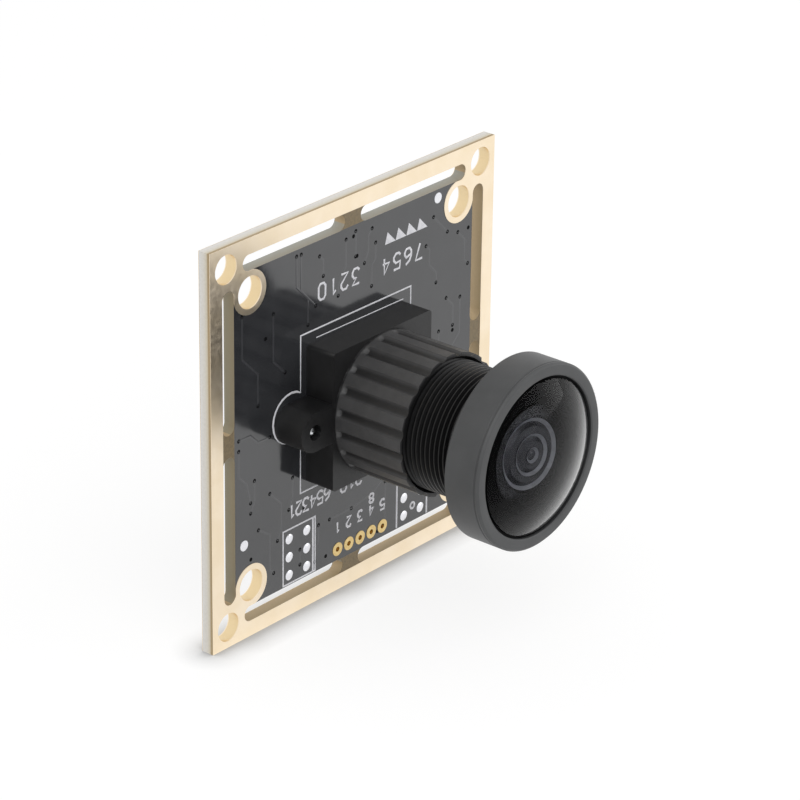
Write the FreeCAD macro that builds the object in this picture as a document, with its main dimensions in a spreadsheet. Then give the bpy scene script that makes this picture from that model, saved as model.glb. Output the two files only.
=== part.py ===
import FreeCAD, Part

import math
import os
import re

import Sketcher

# A board camera: a square circuit board with a plated break-away frame, a ribbed lens holder
# screwed on from behind, and a wide lens that turns in the holder's thread to focus.
# Millimetres. +Z up, +X right as seen from in front of the lens, the lens looks along -Y.
# The origin is where the lens axis meets the board's front face.
# "Depth" is the distance out of that face towards the front, so Y = -depth.

doc = FreeCAD.newDocument("camera_module")

# Driving sizes, in millimetres unless the name says a count or degrees.
SIZES = [
    # board and its milled frame
    ("board_side", 38.0),
    ("board_thick", 1.2),
    ("strip_width", 1.5),
    ("slot_width", 1.5),
    ("corner_land", 4.1),
    ("bridge_width", 2.1),
    ("bridge_shift_x", -0.6),
    ("bridge_shift_z", 0.4),
    ("outer_inset", 2.0),
    ("outer_hole_rad", 1.35),
    ("inner_inset", 5.0),
    ("inner_hole_rad", 1.5),
    ("pad_rad", 2.05),
    ("plating", 0.04),
    # small pads on the front, placed in from the board's edges
    ("test_pad_rad", 0.65),
    ("test_hole_rad", 0.24),
    ("test_first_x", -2.4),
    ("test_pitch", 1.56),
    ("test_row_inset", 4.1),
    ("tin_pad_rad", 0.48),
    ("tin_height", 0.12),
    ("left_group_inset", 10.05),
    ("right_group_inset", 9.75),
    ("group_pitch_x", 2.35),
    ("group_pitch_z", 1.8),
    ("group_low_inset", 4.0),
    ("mark_rad", 0.5),
    ("low_mark_inset_x", 4.1),
    ("low_mark_inset_z", 9.2),
    ("high_mark_inset_x", 7.95),
    ("high_mark_inset_z", 3.8),
    # lens holder
    ("base_half", 6.65),
    ("base_depth", 3.1),
    ("base_corner_rad", 0.35),
    ("base_wall", 0.9),
    ("roof_under", 2.3),
    ("window_rad", 4.2),
    ("ear_reach", 9.0),
    ("ear_rad", 1.85),
    ("tube_rad", 6.62),
    ("tube_front", 10.7),
    ("bore_rad", 6.0),
    ("mouth_widen", 0.25),
    ("mouth_depth", 0.4),
    ("rib_count", 20),
    ("rib_groove_rad", 0.6),
    ("rib_groove_deep", 0.3),
    ("rib_turn_degrees", 8.0),
    ("rib_start", 3.4),
    # screws from the back
    ("screw_rad", 0.7),
    ("screw_fit", 0.02),
    ("board_screw_rad", 0.95),
    ("screw_tip", 2.7),
    ("screw_head_rad", 1.5),
    ("screw_head_high", 0.7),
    ("cross_long", 1.6),
    ("cross_wide", 0.35),
    ("cross_deep", 0.4),
    # sensor and filter under the holder
    ("sensor_long", 8.4),
    ("sensor_high", 7.4),
    ("sensor_thick", 0.9),
    ("sensor_floor", 0.3),
    ("sensor_rim", 0.8),
    ("die_margin", 0.25),
    ("die_thick", 0.25),
    ("cover_margin", 0.2),
    ("cover_thick", 0.4),
    ("filter_side", 9.4),
    ("filter_thick", 0.3),
    # lens barrel
    ("thread_gap", 0.03),
    ("thread_pitch", 0.5),
    ("thread_deep", 0.29),
    ("thread_crest_wide", 0.1),
    ("thread_root_wide", 0.1),
    ("thread_relief", 0.1),
    ("thread_count", 15),
    ("lens_rear", 4.4),
    ("head_rear", 17.0),
    ("head_front", 20.8),
    ("head_rad", 8.5),
    ("head_chamfer", 0.2),
    ("ring_thick", 0.4),
    ("opening_rad", 7.35),
    ("seat_depth", 1.4),
    ("glass_tuck", 0.3),
    ("glass_gap", 0.03),
    ("cavity_rad", 4.9),
    ("shoulder_drop", 0.6),
    ("shoulder_thick", 1.0),
    ("shoulder_rad", 3.9),
    ("stack_rad", 4.6),
    # glass surfaces
    ("dome_curve", 13.5),
    ("hollow_curve", 6.6),
    ("hollow_edge", 4.8),
    ("second_rim", 1.4),
    ("second_curve", 8.0),
    ("second_hollow", 4.0),
    ("second_hollow_edge", 2.8),
    ("third_rim", 1.4),
    ("third_front_curve", 7.0),
    ("third_rear_curve", 9.0),
    ("third_edge", 3.2),
    ("fourth_rim", 2.0),
    ("fourth_curve", 6.0),
    ("fourth_edge", 3.5),
    ("rear_rim", 1.6),
    ("rear_curve", 9.0),
    ("rear_edge", 3.2),
    ("float_gap", 0.02),
    # rings of the element stack
    ("front_spacer", 1.2),
    ("front_spacer_bore", 3.3),
    ("middle_spacer", 0.8),
    ("middle_spacer_bore", 3.4),
    ("stop_thick", 0.2),
    ("stop_bore", 1.3),
    ("rear_spacer", 2.0),
    ("rear_spacer_bore", 3.7),
    ("retainer_thick", 1.4),
    ("retainer_bore", 3.3),
    # back of the board
    ("chip_side", 9.0),
    ("chip_thick", 0.85),
    ("chip_x", 0.0),
    ("chip_z", 3.0),
    ("chip_lead_count", 16),
    ("chip_lead_pitch", 0.5),
    ("chip_lead_wide", 0.25),
    ("chip_lead_long", 0.6),
    ("chip_lead_out", 0.15),
    ("chip_lead_thick", 0.06),
    ("memory_long", 4.9),
    ("memory_wide", 3.9),
    ("memory_thick", 1.4),
    ("memory_x", -10.4),
    ("memory_z", 8.0),
    ("memory_pitch", 1.27),
    ("memory_lead_wide", 0.42),
    ("stand_off", 0.1),
    ("lead_foot", 0.6),
    ("lead_out", 1.0),
    ("lead_thick", 0.2),
    ("lead_rise", 0.7),
    ("crystal_long", 3.2),
    ("crystal_wide", 2.5),
    ("crystal_thick", 0.8),
    ("crystal_x", 9.0),
    ("crystal_z", 5.4),
    ("regulator_long", 2.9),
    ("regulator_wide", 1.6),
    ("regulator_thick", 1.0),
    ("regulator_pitch", 0.95),
    ("regulator_lead_wide", 0.4),
    ("regulator_x", 9.6),
    ("regulator_low_z", -6.0),
    ("regulator_high_z", 11.2),
    ("inductor_side", 3.2),
    ("inductor_thick", 1.5),
    ("inductor_x", -9.6),
    ("inductor_z", -11.2),
    ("small_long", 1.6),
    ("small_wide", 0.8),
    ("small_end", 0.3),
    ("capacitor_high", 0.8),
    ("resistor_high", 0.45),
    ("small_pitch", 1.9),
    ("low_row_z", -6.6),
    ("high_row_z", -4.4),
    ("side_column_inset", 6.0),
    # cable socket
    ("socket_long", 9.2),
    ("socket_wide", 4.3),
    ("socket_high", 3.4),
    ("socket_wall", 0.7),
    ("socket_x", 0.7),
    ("socket_edge_z", 13.3),
    ("socket_back_wall", 0.9),
    ("pin_side", 0.32),
    ("pin_pitch", 1.5),
    ("pin_short", 0.8),
    ("pin_tail", 1.0),
]
NAMES = {name for name, value in SIZES}

sizes = doc.addObject("Spreadsheet::Sheet", "Sizes")
for row, (name, value) in enumerate(SIZES, start=1):
    sizes.set("A%d" % row, name)
    sizes.set("B%d" % row, repr(value))
    sizes.setAlias("B%d" % row, name)
doc.recompute()

OUTWARD = FreeCAD.Rotation(FreeCAD.Vector(1, 0, 0), 90)


def bound(text):
    """An expression in which each size's name points into the sheet."""
    def to_sheet(match):
        word = match.group(0)
        return "Sizes." + word if word in NAMES else word
    return re.sub(r"[a-z_]+", to_sheet, text)


def value_of(text):
    return float(sizes.evalExpression(bound(text)))


def bind(obj, pairs):
    for prop, text in pairs:
        obj.setExpression(prop, bound(text))
    return obj


def place(obj, x, depth, z):
    return bind(obj, [("Placement.Base.x", x), ("Placement.Base.y", "-(%s)" % depth), ("Placement.Base.z", z)])


def block(name, x_low, x_high, z_low, z_high, start, end):
    """A box between two depths."""
    box = doc.addObject("Part::Box", name)
    bind(box, [("Length", "(%s) - (%s)" % (x_high, x_low)),
               ("Width", "(%s) - (%s)" % (end, start)),
               ("Height", "(%s) - (%s)" % (z_high, z_low))])
    return place(box, x_low, end, z_low)


def centred_block(name, x, z, length, height, start, end):
    return block(name, "(%s) - (%s) / 2" % (x, length), "(%s) + (%s) / 2" % (x, length),
                 "(%s) - (%s) / 2" % (z, height), "(%s) + (%s) / 2" % (z, height), start, end)


def rod(name, x, z, start, end, radius):
    """A cylinder along the lens axis between two depths."""
    cylinder = doc.addObject("Part::Cylinder", name)
    cylinder.Placement = FreeCAD.Placement(FreeCAD.Vector(0, 0, 0), OUTWARD)
    bind(cylinder, [("Radius", radius), ("Height", "(%s) - (%s)" % (end, start))])
    return place(cylinder, x, start, z)


def ball(name, centre, radius):
    sphere = doc.addObject("Part::Sphere", name)
    bind(sphere, [("Radius", radius)])
    return place(sphere, "0", centre, "0")


def joined(name, shapes):
    fuse = doc.addObject("Part::MultiFuse", name)
    fuse.Shapes = shapes
    return fuse


def less(name, base, tool):
    cut = doc.addObject("Part::Cut", name)
    cut.Base = base
    cut.Tool = tool
    return cut


def shared(name, first, second):
    common = doc.addObject("Part::Common", name)
    common.Base = first
    common.Tool = second
    return common


def group(name, shapes):
    """Several separate solids that share one node."""
    compound = doc.addObject("Part::Compound", name)
    compound.Links = shapes
    return compound


def origin_feature(body, role):
    return [feature for feature in body.Origin.OriginFeatures if feature.Role == role][0]


def new_sketch(body, name, role):
    sketch = body.newObject("Sketcher::SketchObject", name)
    sketch.AttachmentSupport = [(origin_feature(body, role), "")]
    sketch.MapMode = "FlatFace"
    return sketch


def pin_point(sketch, geometry, position, x, y, tag):
    """Ties one point of a sketch to the origin by two bound distances."""
    for axis, kind, line, text in (("x", "DistanceX", -2, x), ("y", "DistanceY", -1, y)):
        if text == "0":
            sketch.addConstraint(Sketcher.Constraint("PointOnObject", geometry, position, line))
            continue
        constraint = Sketcher.Constraint(kind, -1, 1, geometry, position, value_of(text))
        index = sketch.addConstraint(constraint)
        sketch.renameConstraint(index, "%s_%s" % (tag, axis))
        sketch.setExpression("Constraints.%s_%s" % (tag, axis), bound(text))


def polygon(sketch, points, tag="corner"):
    """A closed outline whose corners are all tied to bound coordinates."""
    spots = [FreeCAD.Vector(value_of(x), value_of(y), 0) for x, y in points]
    first = sketch.GeometryCount
    count = len(spots)
    for index in range(count):
        sketch.addGeometry(Part.LineSegment(spots[index], spots[(index + 1) % count]))
    for index in range(count):
        sketch.addConstraint(Sketcher.Constraint("Coincident", first + index, 2, first + (index + 1) % count, 1))
    for index, (x, y) in enumerate(points):
        pin_point(sketch, first + index, 1, x, y, "%s%d" % (tag, index))


def disc(sketch, x, y, radius, tag):
    centre = FreeCAD.Vector(value_of(x), value_of(y), 0)
    index = sketch.addGeometry(Part.Circle(centre, FreeCAD.Vector(0, 0, 1), value_of(radius)))
    if x == "0" and y == "0":
        sketch.addConstraint(Sketcher.Constraint("Coincident", index, 3, -1, 1))
    else:
        pin_point(sketch, index, 3, x, y, tag)
    size = sketch.addConstraint(Sketcher.Constraint("Radius", index, value_of(radius)))
    sketch.renameConstraint(size, tag + "_rad")
    sketch.setExpression("Constraints.%s_rad" % tag, bound(radius))


def pad(body, sketch, name, length):
    """Material from the sketch's plane outward by a bound length."""
    feature = body.newObject("PartDesign::Pad", name)
    feature.Profile = sketch
    bind(feature, [("Length", length)])
    doc.recompute()
    return feature


def pocket(body, sketch, name, length):
    """A cut from the sketch's plane outward by a bound length."""
    before = body.Shape.Volume
    feature = body.newObject("PartDesign::Pocket", name)
    feature.Profile = sketch
    feature.Reversed = True
    bind(feature, [("Length", length)])
    doc.recompute()
    if body.Shape.Volume >= before:
        raise ValueError(name + " cuts nothing")
    return feature


def turned(name, points):
    """A ring or barrel turned about the lens axis; points are radius and depth."""
    body = doc.addObject("PartDesign::Body", name)
    sketch = new_sketch(body, name + "_profile", "XY_Plane")
    polygon(sketch, [(radius, "-(%s)" % depth) for radius, depth in points])
    feature = body.newObject("PartDesign::Revolution", name + "_turn")
    feature.Profile = sketch
    feature.ReferenceAxis = (sketch, ["V_Axis"])
    feature.Angle = 360
    doc.recompute()
    return body


def ring(name, inner, outer, start, end):
    return turned(name, [(inner, start), (outer, start), (outer, end), (inner, end)])


# Circuit board. Tools that cut the board and its plating reach past both faces.
HALF = "board_side / 2"
PAST_BACK = "-board_thick - 1"
PAST_FRONT = "1"
BACK = "-board_thick"
SLOT_Z = "board_side / 2 - strip_width - slot_width / 2"
SLOT_END = "board_side / 2 - corner_land - slot_width / 2"
SIGNS = (("low", "-"), ("high", ""))


def slot(name, along_x, cross, low, high):
    """A milled slot with round ends, from one end centre to the other."""
    low_half = "(%s) - slot_width / 2" % cross
    high_half = "(%s) + slot_width / 2" % cross
    if along_x:
        bar = block(name + "_bar", low, high, low_half, high_half, PAST_BACK, PAST_FRONT)
        ends = [(low, cross), (high, cross)]
    else:
        bar = block(name + "_bar", low_half, high_half, low, high, PAST_BACK, PAST_FRONT)
        ends = [(cross, low), (cross, high)]
    rounds = [rod("%s_end%d" % (name, index), x, z, PAST_BACK, PAST_FRONT, "slot_width / 2")
              for index, (x, z) in enumerate(ends)]
    return [bar] + rounds


slot_tools = []
for side, sign in SIGNS:
    cross = "%s(%s)" % (sign, SLOT_Z)
    for along_x, shift in ((True, "bridge_shift_x"), (False, "bridge_shift_z")):
        axis = "x" if along_x else "z"
        near = "%s - bridge_width / 2 - slot_width / 2" % shift
        far = "%s + bridge_width / 2 + slot_width / 2" % shift
        slot_tools += slot("slot_%s_%s_before" % (axis, side), along_x, cross, "-(%s)" % SLOT_END, near)
        slot_tools += slot("slot_%s_%s_after" % (axis, side), along_x, cross, far, SLOT_END)
slots = joined("slots", slot_tools)


def corner_rods(name, inset, start, end, radius):
    rods = []
    for x_side, x_sign in SIGNS:
        for z_side, z_sign in SIGNS:
            spot = "(board_side / 2 - %s)" % inset
            rods.append(rod("%s_%s_%s" % (name, x_side, z_side), x_sign + spot, z_sign + spot, start, end, radius))
    return rods


TEST_SPOTS = ["test_first_x + %d * test_pitch" % index for index in range(5)]
TEST_ROW = "-(board_side / 2 - test_row_inset)"
drilled = corner_rods("outer_drill", "outer_inset", PAST_BACK, PAST_FRONT, "outer_hole_rad + plating")
drilled += corner_rods("inner_drill", "inner_inset", PAST_BACK, PAST_FRONT, "inner_hole_rad + plating")
for side, sign in SIGNS:
    drilled.append(rod("screw_drill_" + side, sign + "ear_reach", "0", PAST_BACK, PAST_FRONT, "board_screw_rad"))
for index, spot in enumerate(TEST_SPOTS):
    drilled.append(rod("test_drill%d" % index, spot, TEST_ROW, PAST_BACK, PAST_FRONT, "test_hole_rad + plating"))
board_blank = block("board_blank", "-" + HALF, HALF, "-" + HALF, HALF, BACK, "0")
circuit_board = less("circuit_board", board_blank, joined("board_tools", [slots] + drilled))

# Plating: a thin skin on both faces of the frame and round the holes, joined through the holes.
LAND = "board_side / 2 - inner_inset"


def plated_face(name, start, end):
    sheet = block(name + "_sheet", "-" + HALF, HALF, "-" + HALF, HALF, start, end)
    inner = "(board_side / 2 - strip_width)"
    window = block(name + "_window", "-" + inner, inner, "-" + inner, inner, start, end)
    pieces = [less(name + "_strip", sheet, window)]
    for x_side, x_sign in SIGNS:
        for z_side, z_sign in SIGNS:
            x_low, x_high = ("-" + HALF, "-(%s)" % LAND) if x_sign else (LAND, HALF)
            z_low, z_high = ("-" + HALF, "-(%s)" % LAND) if z_sign else (LAND, HALF)
            pieces.append(block("%s_land_%s_%s" % (name, x_side, z_side), x_low, x_high, z_low, z_high, start, end))
    return pieces + corner_rods(name + "_pad", "inner_inset", start, end, "pad_rad")


skins = plated_face("front_skin", "0", "plating")
skins += plated_face("back_skin", "-board_thick - plating", BACK)
sleeves = corner_rods("outer_sleeve", "outer_inset", "-board_thick - plating", "plating", "outer_hole_rad + plating")
sleeves += corner_rods("inner_sleeve", "inner_inset", "-board_thick - plating", "plating", "inner_hole_rad + plating")
bores = corner_rods("outer_bore", "outer_inset", PAST_BACK, PAST_FRONT, "outer_hole_rad")
bores += corner_rods("inner_bore", "inner_inset", PAST_BACK, PAST_FRONT, "inner_hole_rad")
frame_plating = less("frame_plating", joined("plating_blank", skins + sleeves), joined("plating_tools", [slots] + bores))

# Five gold pads with lined holes.
test_rings = []
for index, spot in enumerate(TEST_SPOTS):
    face = rod("test_face%d" % index, spot, TEST_ROW, "0", "plating", "test_pad_rad")
    lining = rod("test_lining%d" % index, spot, TEST_ROW, "-board_thick - plating", "plating",
                 "test_hole_rad + plating")
    hole = rod("test_hole%d" % index, spot, TEST_ROW, PAST_BACK, PAST_FRONT, "test_hole_rad")
    test_rings.append(less("test_ring%d" % index, joined("test_blank%d" % index, [face, lining]), hole))
test_pads = group("test_pads", test_rings)

# Two groups of tinned pads, two columns of three each, and two round marks.
tin_spots = []
for side, sign in (("left", "-"), ("right", "")):
    for column in range(2):
        for line in range(3):
            x = "%s(board_side / 2 - %s_group_inset - %d * group_pitch_x)" % (sign, side, column)
            z = "-(board_side / 2 - group_low_inset - %d * group_pitch_z)" % line
            tin_spots.append(rod("tin_%s_%d_%d" % (side, column, line), x, z, "0", "tin_height", "tin_pad_rad"))
header_pads = group("header_pads", tin_spots)
LOW_MARK = ("-(board_side / 2 - low_mark_inset_x)", "-(board_side / 2 - low_mark_inset_z)")
HIGH_MARK = ("board_side / 2 - high_mark_inset_x", "board_side / 2 - high_mark_inset_z")
fiducial_pads = group("fiducial_pads", [rod("mark_low", *LOW_MARK, "0", "plating", "mark_rad"),
                                        rod("mark_high", *HIGH_MARK, "0", "plating", "mark_rad")])

# Lens holder: hollow base with two ears, ribbed tube, smooth stand-in for the fine bore thread.
lens_holder = doc.addObject("PartDesign::Body", "lens_holder")
base_outline = new_sketch(lens_holder, "base_outline", "XZ_Plane")
polygon(base_outline, [("-base_half", "-base_half"), ("base_half", "-base_half"),
                       ("base_half", "base_half"), ("-base_half", "base_half")])
base_pad = pad(lens_holder, base_outline, "base_pad", "base_depth")
upright = [edge for edge in range(1, len(base_pad.Shape.Edges) + 1)
           if base_pad.Shape.Edges[edge - 1].BoundBox.XLength < 1e-6
           and base_pad.Shape.Edges[edge - 1].BoundBox.ZLength < 1e-6]
base_round = lens_holder.newObject("PartDesign::Fillet", "base_round")
base_round.Base = (base_pad, ["Edge%d" % edge for edge in upright])
bind(base_round, [("Radius", "base_corner_rad")])
doc.recompute()
ear_web = new_sketch(lens_holder, "ear_web_outline", "XZ_Plane")
polygon(ear_web, [("-ear_reach", "-ear_rad"), ("ear_reach", "-ear_rad"),
                  ("ear_reach", "ear_rad"), ("-ear_reach", "ear_rad")])
pad(lens_holder, ear_web, "ear_web", "base_depth")
for side, sign in SIGNS:
    boss = new_sketch(lens_holder, "ear_%s_outline" % side, "XZ_Plane")
    disc(boss, sign + "ear_reach", "0", "ear_rad", "boss")
    pad(lens_holder, boss, "ear_" + side, "base_depth")
tube_outline = new_sketch(lens_holder, "tube_outline", "XZ_Plane")
disc(tube_outline, "0", "0", "tube_rad", "tube")
pad(lens_holder, tube_outline, "tube", "tube_front")
chamber = new_sketch(lens_holder, "chamber_outline", "XZ_Plane")
polygon(chamber, [("-(base_half - base_wall)", "-(base_half - base_wall)"),
                  ("base_half - base_wall", "-(base_half - base_wall)"),
                  ("base_half - base_wall", "base_half - base_wall"),
                  ("-(base_half - base_wall)", "base_half - base_wall")])
pocket(lens_holder, chamber, "chamber", "roof_under")
for side, sign in SIGNS:
    screw_bore = new_sketch(lens_holder, "screw_bore_%s_outline" % side, "XZ_Plane")
    disc(screw_bore, sign + "ear_reach", "0", "screw_rad", "screw")
    pocket(lens_holder, screw_bore, "screw_bore_" + side, "base_depth")
inside = new_sketch(lens_holder, "inside_profile", "XY_Plane")
polygon(inside, [("0", "-(roof_under / 2)"), ("window_rad", "-(roof_under / 2)"), ("window_rad", "-base_depth"),
                 ("bore_rad", "-base_depth"), ("bore_rad", "-(tube_front - mouth_depth)"),
                 ("bore_rad + mouth_widen", "-tube_front"), ("bore_rad + mouth_widen", "-(tube_front + 1)"),
                 ("0", "-(tube_front + 1)")])
bore = lens_holder.newObject("PartDesign::Groove", "bore")
bore.Profile = inside
bore.ReferenceAxis = (inside, ["V_Axis"])
bore.Angle = 360
doc.recompute()
flute = new_sketch(lens_holder, "flute_outline", "XZ_Plane")
FLUTE_AT = "(tube_rad + rib_groove_rad - rib_groove_deep)"
bind(flute, [("AttachmentOffset.Base.z", "rib_start")])
disc(flute, FLUTE_AT + " * cos(rib_turn_degrees * 1 deg)", FLUTE_AT + " * sin(rib_turn_degrees * 1 deg)",
     "rib_groove_rad", "flute")
flute_cut = pocket(lens_holder, flute, "flute", "tube_front - rib_start")
flutes = lens_holder.newObject("PartDesign::PolarPattern", "flutes")
flutes.Originals = [flute_cut]
flutes.Axis = (origin_feature(lens_holder, "Y_Axis"), [""])
flutes.Angle = 360
bind(flutes, [("Occurrences", "rib_count")])
lens_holder.Tip = flutes
doc.recompute()

# Two screws from the back with a cross recess; their tips end inside the ears.
screws = []
for side, sign in SIGNS:
    x = sign + "ear_reach"
    shank = rod("shank_" + side, x, "0", BACK, "screw_tip", "screw_rad - screw_fit")
    head = rod("screw_head_" + side, x, "0", "-board_thick - screw_head_high", BACK, "screw_head_rad")
    recess_end = "-board_thick - screw_head_high + cross_deep"
    arms = [centred_block("cross_across_" + side, x, "0", "cross_long", "cross_wide",
                          "-board_thick - screw_head_high - 1", recess_end),
            centred_block("cross_up_" + side, x, "0", "cross_wide", "cross_long",
                          "-board_thick - screw_head_high - 1", recess_end)]
    screws.append(less("screw_" + side, joined("screw_blank_" + side, [shank, head]), joined("cross_" + side, arms)))
holder_screws = group("holder_screws", screws)

# Image sensor and the filter above it.
sensor_blank = centred_block("sensor_blank", "0", "0", "sensor_long", "sensor_high", "0", "sensor_thick")
sensor_well = centred_block("sensor_well", "0", "0", "sensor_long - 2 * sensor_rim", "sensor_high - 2 * sensor_rim",
                            "sensor_floor", "sensor_thick + 1")
sensor_body = less("sensor_body", sensor_blank, sensor_well)
sensor_die = centred_block("sensor_die", "0", "0", "sensor_long - 2 * sensor_rim - 2 * die_margin",
                           "sensor_high - 2 * sensor_rim - 2 * die_margin", "sensor_floor",
                           "sensor_floor + die_thick")
sensor_glass = centred_block("sensor_glass", "0", "0", "sensor_long - 2 * cover_margin",
                             "sensor_high - 2 * cover_margin", "sensor_thick", "sensor_thick + cover_thick")
ir_filter = centred_block("ir_filter", "0", "0", "filter_side", "filter_side",
                          "roof_under - filter_thick", "roof_under")

# Lens barrel, turned in one piece, and the thin ring in front that keeps the front glass.
HEAD_FACE = "head_front - ring_thick"
SEAT = "head_front - ring_thick - seat_depth"
SEAT_RAD = "opening_rad + glass_tuck + glass_gap"
SHOULDER_FRONT = SEAT + " - shoulder_drop"
SHOULDER_REAR = SHOULDER_FRONT + " - shoulder_thick"
lens_barrel = turned("lens_barrel", [
    ("stack_rad", "lens_rear"), ("bore_rad - thread_gap", "lens_rear"), ("bore_rad - thread_gap", "head_rear"),
    ("head_rad - head_chamfer", "head_rear"), ("head_rad", "head_rear + head_chamfer"), ("head_rad", HEAD_FACE),
    (SEAT_RAD, HEAD_FACE), (SEAT_RAD, SEAT), ("cavity_rad", SEAT), ("shoulder_rad", SHOULDER_FRONT),
    ("shoulder_rad", SHOULDER_REAR), ("stack_rad", SHOULDER_REAR)])
# The part of the stem's thread that can show, as equal grooves one pitch apart.
GROOVE_AT = "head_rear - thread_relief - thread_pitch / 2"
GROOVE_HALF = "(thread_pitch - thread_crest_wide) / 2"
thread_outline = new_sketch(lens_barrel, "thread_outline", "XY_Plane")
polygon(thread_outline, [
    ("bore_rad - thread_gap - thread_deep", "-(%s - thread_root_wide / 2)" % GROOVE_AT),
    ("bore_rad - thread_gap", "-(%s - %s)" % (GROOVE_AT, GROOVE_HALF)),
    ("bore_rad + thread_gap", "-(%s - %s)" % (GROOVE_AT, GROOVE_HALF)),
    ("bore_rad + thread_gap", "-(%s + %s)" % (GROOVE_AT, GROOVE_HALF)),
    ("bore_rad - thread_gap", "-(%s + %s)" % (GROOVE_AT, GROOVE_HALF)),
    ("bore_rad - thread_gap - thread_deep", "-(%s + thread_root_wide / 2)" % GROOVE_AT)])
thread_groove = lens_barrel.newObject("PartDesign::Groove", "thread_groove")
thread_groove.Profile = thread_outline
thread_groove.ReferenceAxis = (thread_outline, ["V_Axis"])
thread_groove.Angle = 360
doc.recompute()
thread_row = lens_barrel.newObject("PartDesign::LinearPattern", "thread_row")
thread_row.Originals = [thread_groove]
thread_row.Direction = (origin_feature(lens_barrel, "Y_Axis"), [""])
bind(thread_row, [("Length", "(thread_count - 1) * thread_pitch"), ("Occurrences", "thread_count")])
lens_barrel.Tip = thread_row
doc.recompute()
front_ring = turned("front_ring", [
    ("opening_rad", HEAD_FACE), ("head_rad", HEAD_FACE), ("head_rad", "head_front - head_chamfer"),
    ("head_rad - head_chamfer", "head_front"), ("opening_rad", "head_front")])


# Glass elements: a round blank met by spheres. A convex face passes through its rim's edge.
def dome_centre(rim, curve, edge):
    return "(%s) - sqrt(%s ^ 2 - (%s) ^ 2)" % (rim, curve, edge)


def bowl_centre(rim, curve, edge):
    return "(%s) + sqrt(%s ^ 2 - (%s) ^ 2)" % (rim, curve, edge)


REACH = "2"
dome_at = dome_centre(HEAD_FACE, "dome_curve", "opening_rad")
front_blank = rod("front_blank", "0", "0", SEAT, HEAD_FACE + " + 3 * " + REACH, "opening_rad + glass_tuck")
front_domed = shared("front_domed", front_blank, ball("front_dome", dome_at, "dome_curve"))
hollow_at = dome_centre(SEAT, "hollow_curve", "hollow_edge")
front_glass = less("front_glass", front_domed, ball("front_hollow", hollow_at, "hollow_curve"))

STACK = "stack_rad - glass_gap"
SECOND_REAR = SHOULDER_REAR + " - second_rim"
second_rim = rod("second_disc", "0", "0", SECOND_REAR, SHOULDER_REAR, STACK)
second_bulge = shared("second_bulge",
                      rod("second_neck", "0", "0", SHOULDER_REAR, SHOULDER_REAR + " + " + REACH,
                          "shoulder_rad - glass_gap"),
                      ball("second_dome", dome_centre(SHOULDER_REAR, "second_curve", "shoulder_rad - glass_gap"),
                           "second_curve"))
second_hollow_at = dome_centre(SECOND_REAR, "second_hollow", "second_hollow_edge")
second_glass = less("second_glass", joined("second_blank", [second_rim, second_bulge]),
                    ball("second_scoop", second_hollow_at, "second_hollow"))

THIRD_FRONT = SECOND_REAR + " - front_spacer"
THIRD_REAR = THIRD_FRONT + " - third_rim"
third_front = shared("third_front",
                     rod("third_front_neck", "0", "0", THIRD_FRONT, THIRD_FRONT + " + " + REACH, "third_edge"),
                     ball("third_front_dome", dome_centre(THIRD_FRONT, "third_front_curve", "third_edge"),
                          "third_front_curve"))
third_rear = shared("third_rear",
                    rod("third_rear_neck", "0", "0", THIRD_REAR + " - " + REACH, THIRD_REAR, "third_edge"),
                    ball("third_rear_dome", bowl_centre(THIRD_REAR, "third_rear_curve", "third_edge"),
                         "third_rear_curve"))
third_glass = joined("third_glass", [rod("third_disc", "0", "0", THIRD_REAR, THIRD_FRONT, STACK),
                                     third_front, third_rear])

STOP_FRONT = THIRD_REAR + " - middle_spacer"
FOURTH_FRONT = STOP_FRONT + " - stop_thick"
FOURTH_REAR = FOURTH_FRONT + " - fourth_rim"
fourth_rear = shared("fourth_rear",
                     rod("fourth_neck", "0", "0", FOURTH_REAR + " - " + REACH, FOURTH_REAR, "fourth_edge"),
                     ball("fourth_dome", bowl_centre(FOURTH_REAR, "fourth_curve", "fourth_edge"), "fourth_curve"))
fourth_glass = joined("fourth_glass", [rod("fourth_disc", "0", "0", FOURTH_REAR, FOURTH_FRONT, STACK), fourth_rear])

LAST_FRONT = FOURTH_REAR + " - rear_spacer"
LAST_REAR = LAST_FRONT + " - rear_rim"
last_blank = rod("rear_blank", "0", "0", LAST_REAR + " + float_gap", LAST_FRONT + " - float_gap", STACK)
last_hollow_at = dome_centre(LAST_REAR, "rear_curve", "rear_edge")
rear_glass = less("rear_glass", last_blank, ball("rear_scoop", last_hollow_at, "rear_curve"))

spacer_ring_front = ring("spacer_ring_front", "front_spacer_bore", STACK, THIRD_FRONT, SECOND_REAR)
spacer_ring_middle = ring("spacer_ring_middle", "middle_spacer_bore", STACK, STOP_FRONT, THIRD_REAR)
aperture_stop = ring("aperture_stop", "stop_bore", STACK, FOURTH_FRONT, STOP_FRONT)
spacer_ring_rear = ring("spacer_ring_rear", "rear_spacer_bore", STACK, LAST_FRONT, FOURTH_REAR)
rear_retainer = ring("rear_retainer", "retainer_bore", "stack_rad", LAST_REAR + " - retainer_thick", LAST_REAR)

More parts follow.
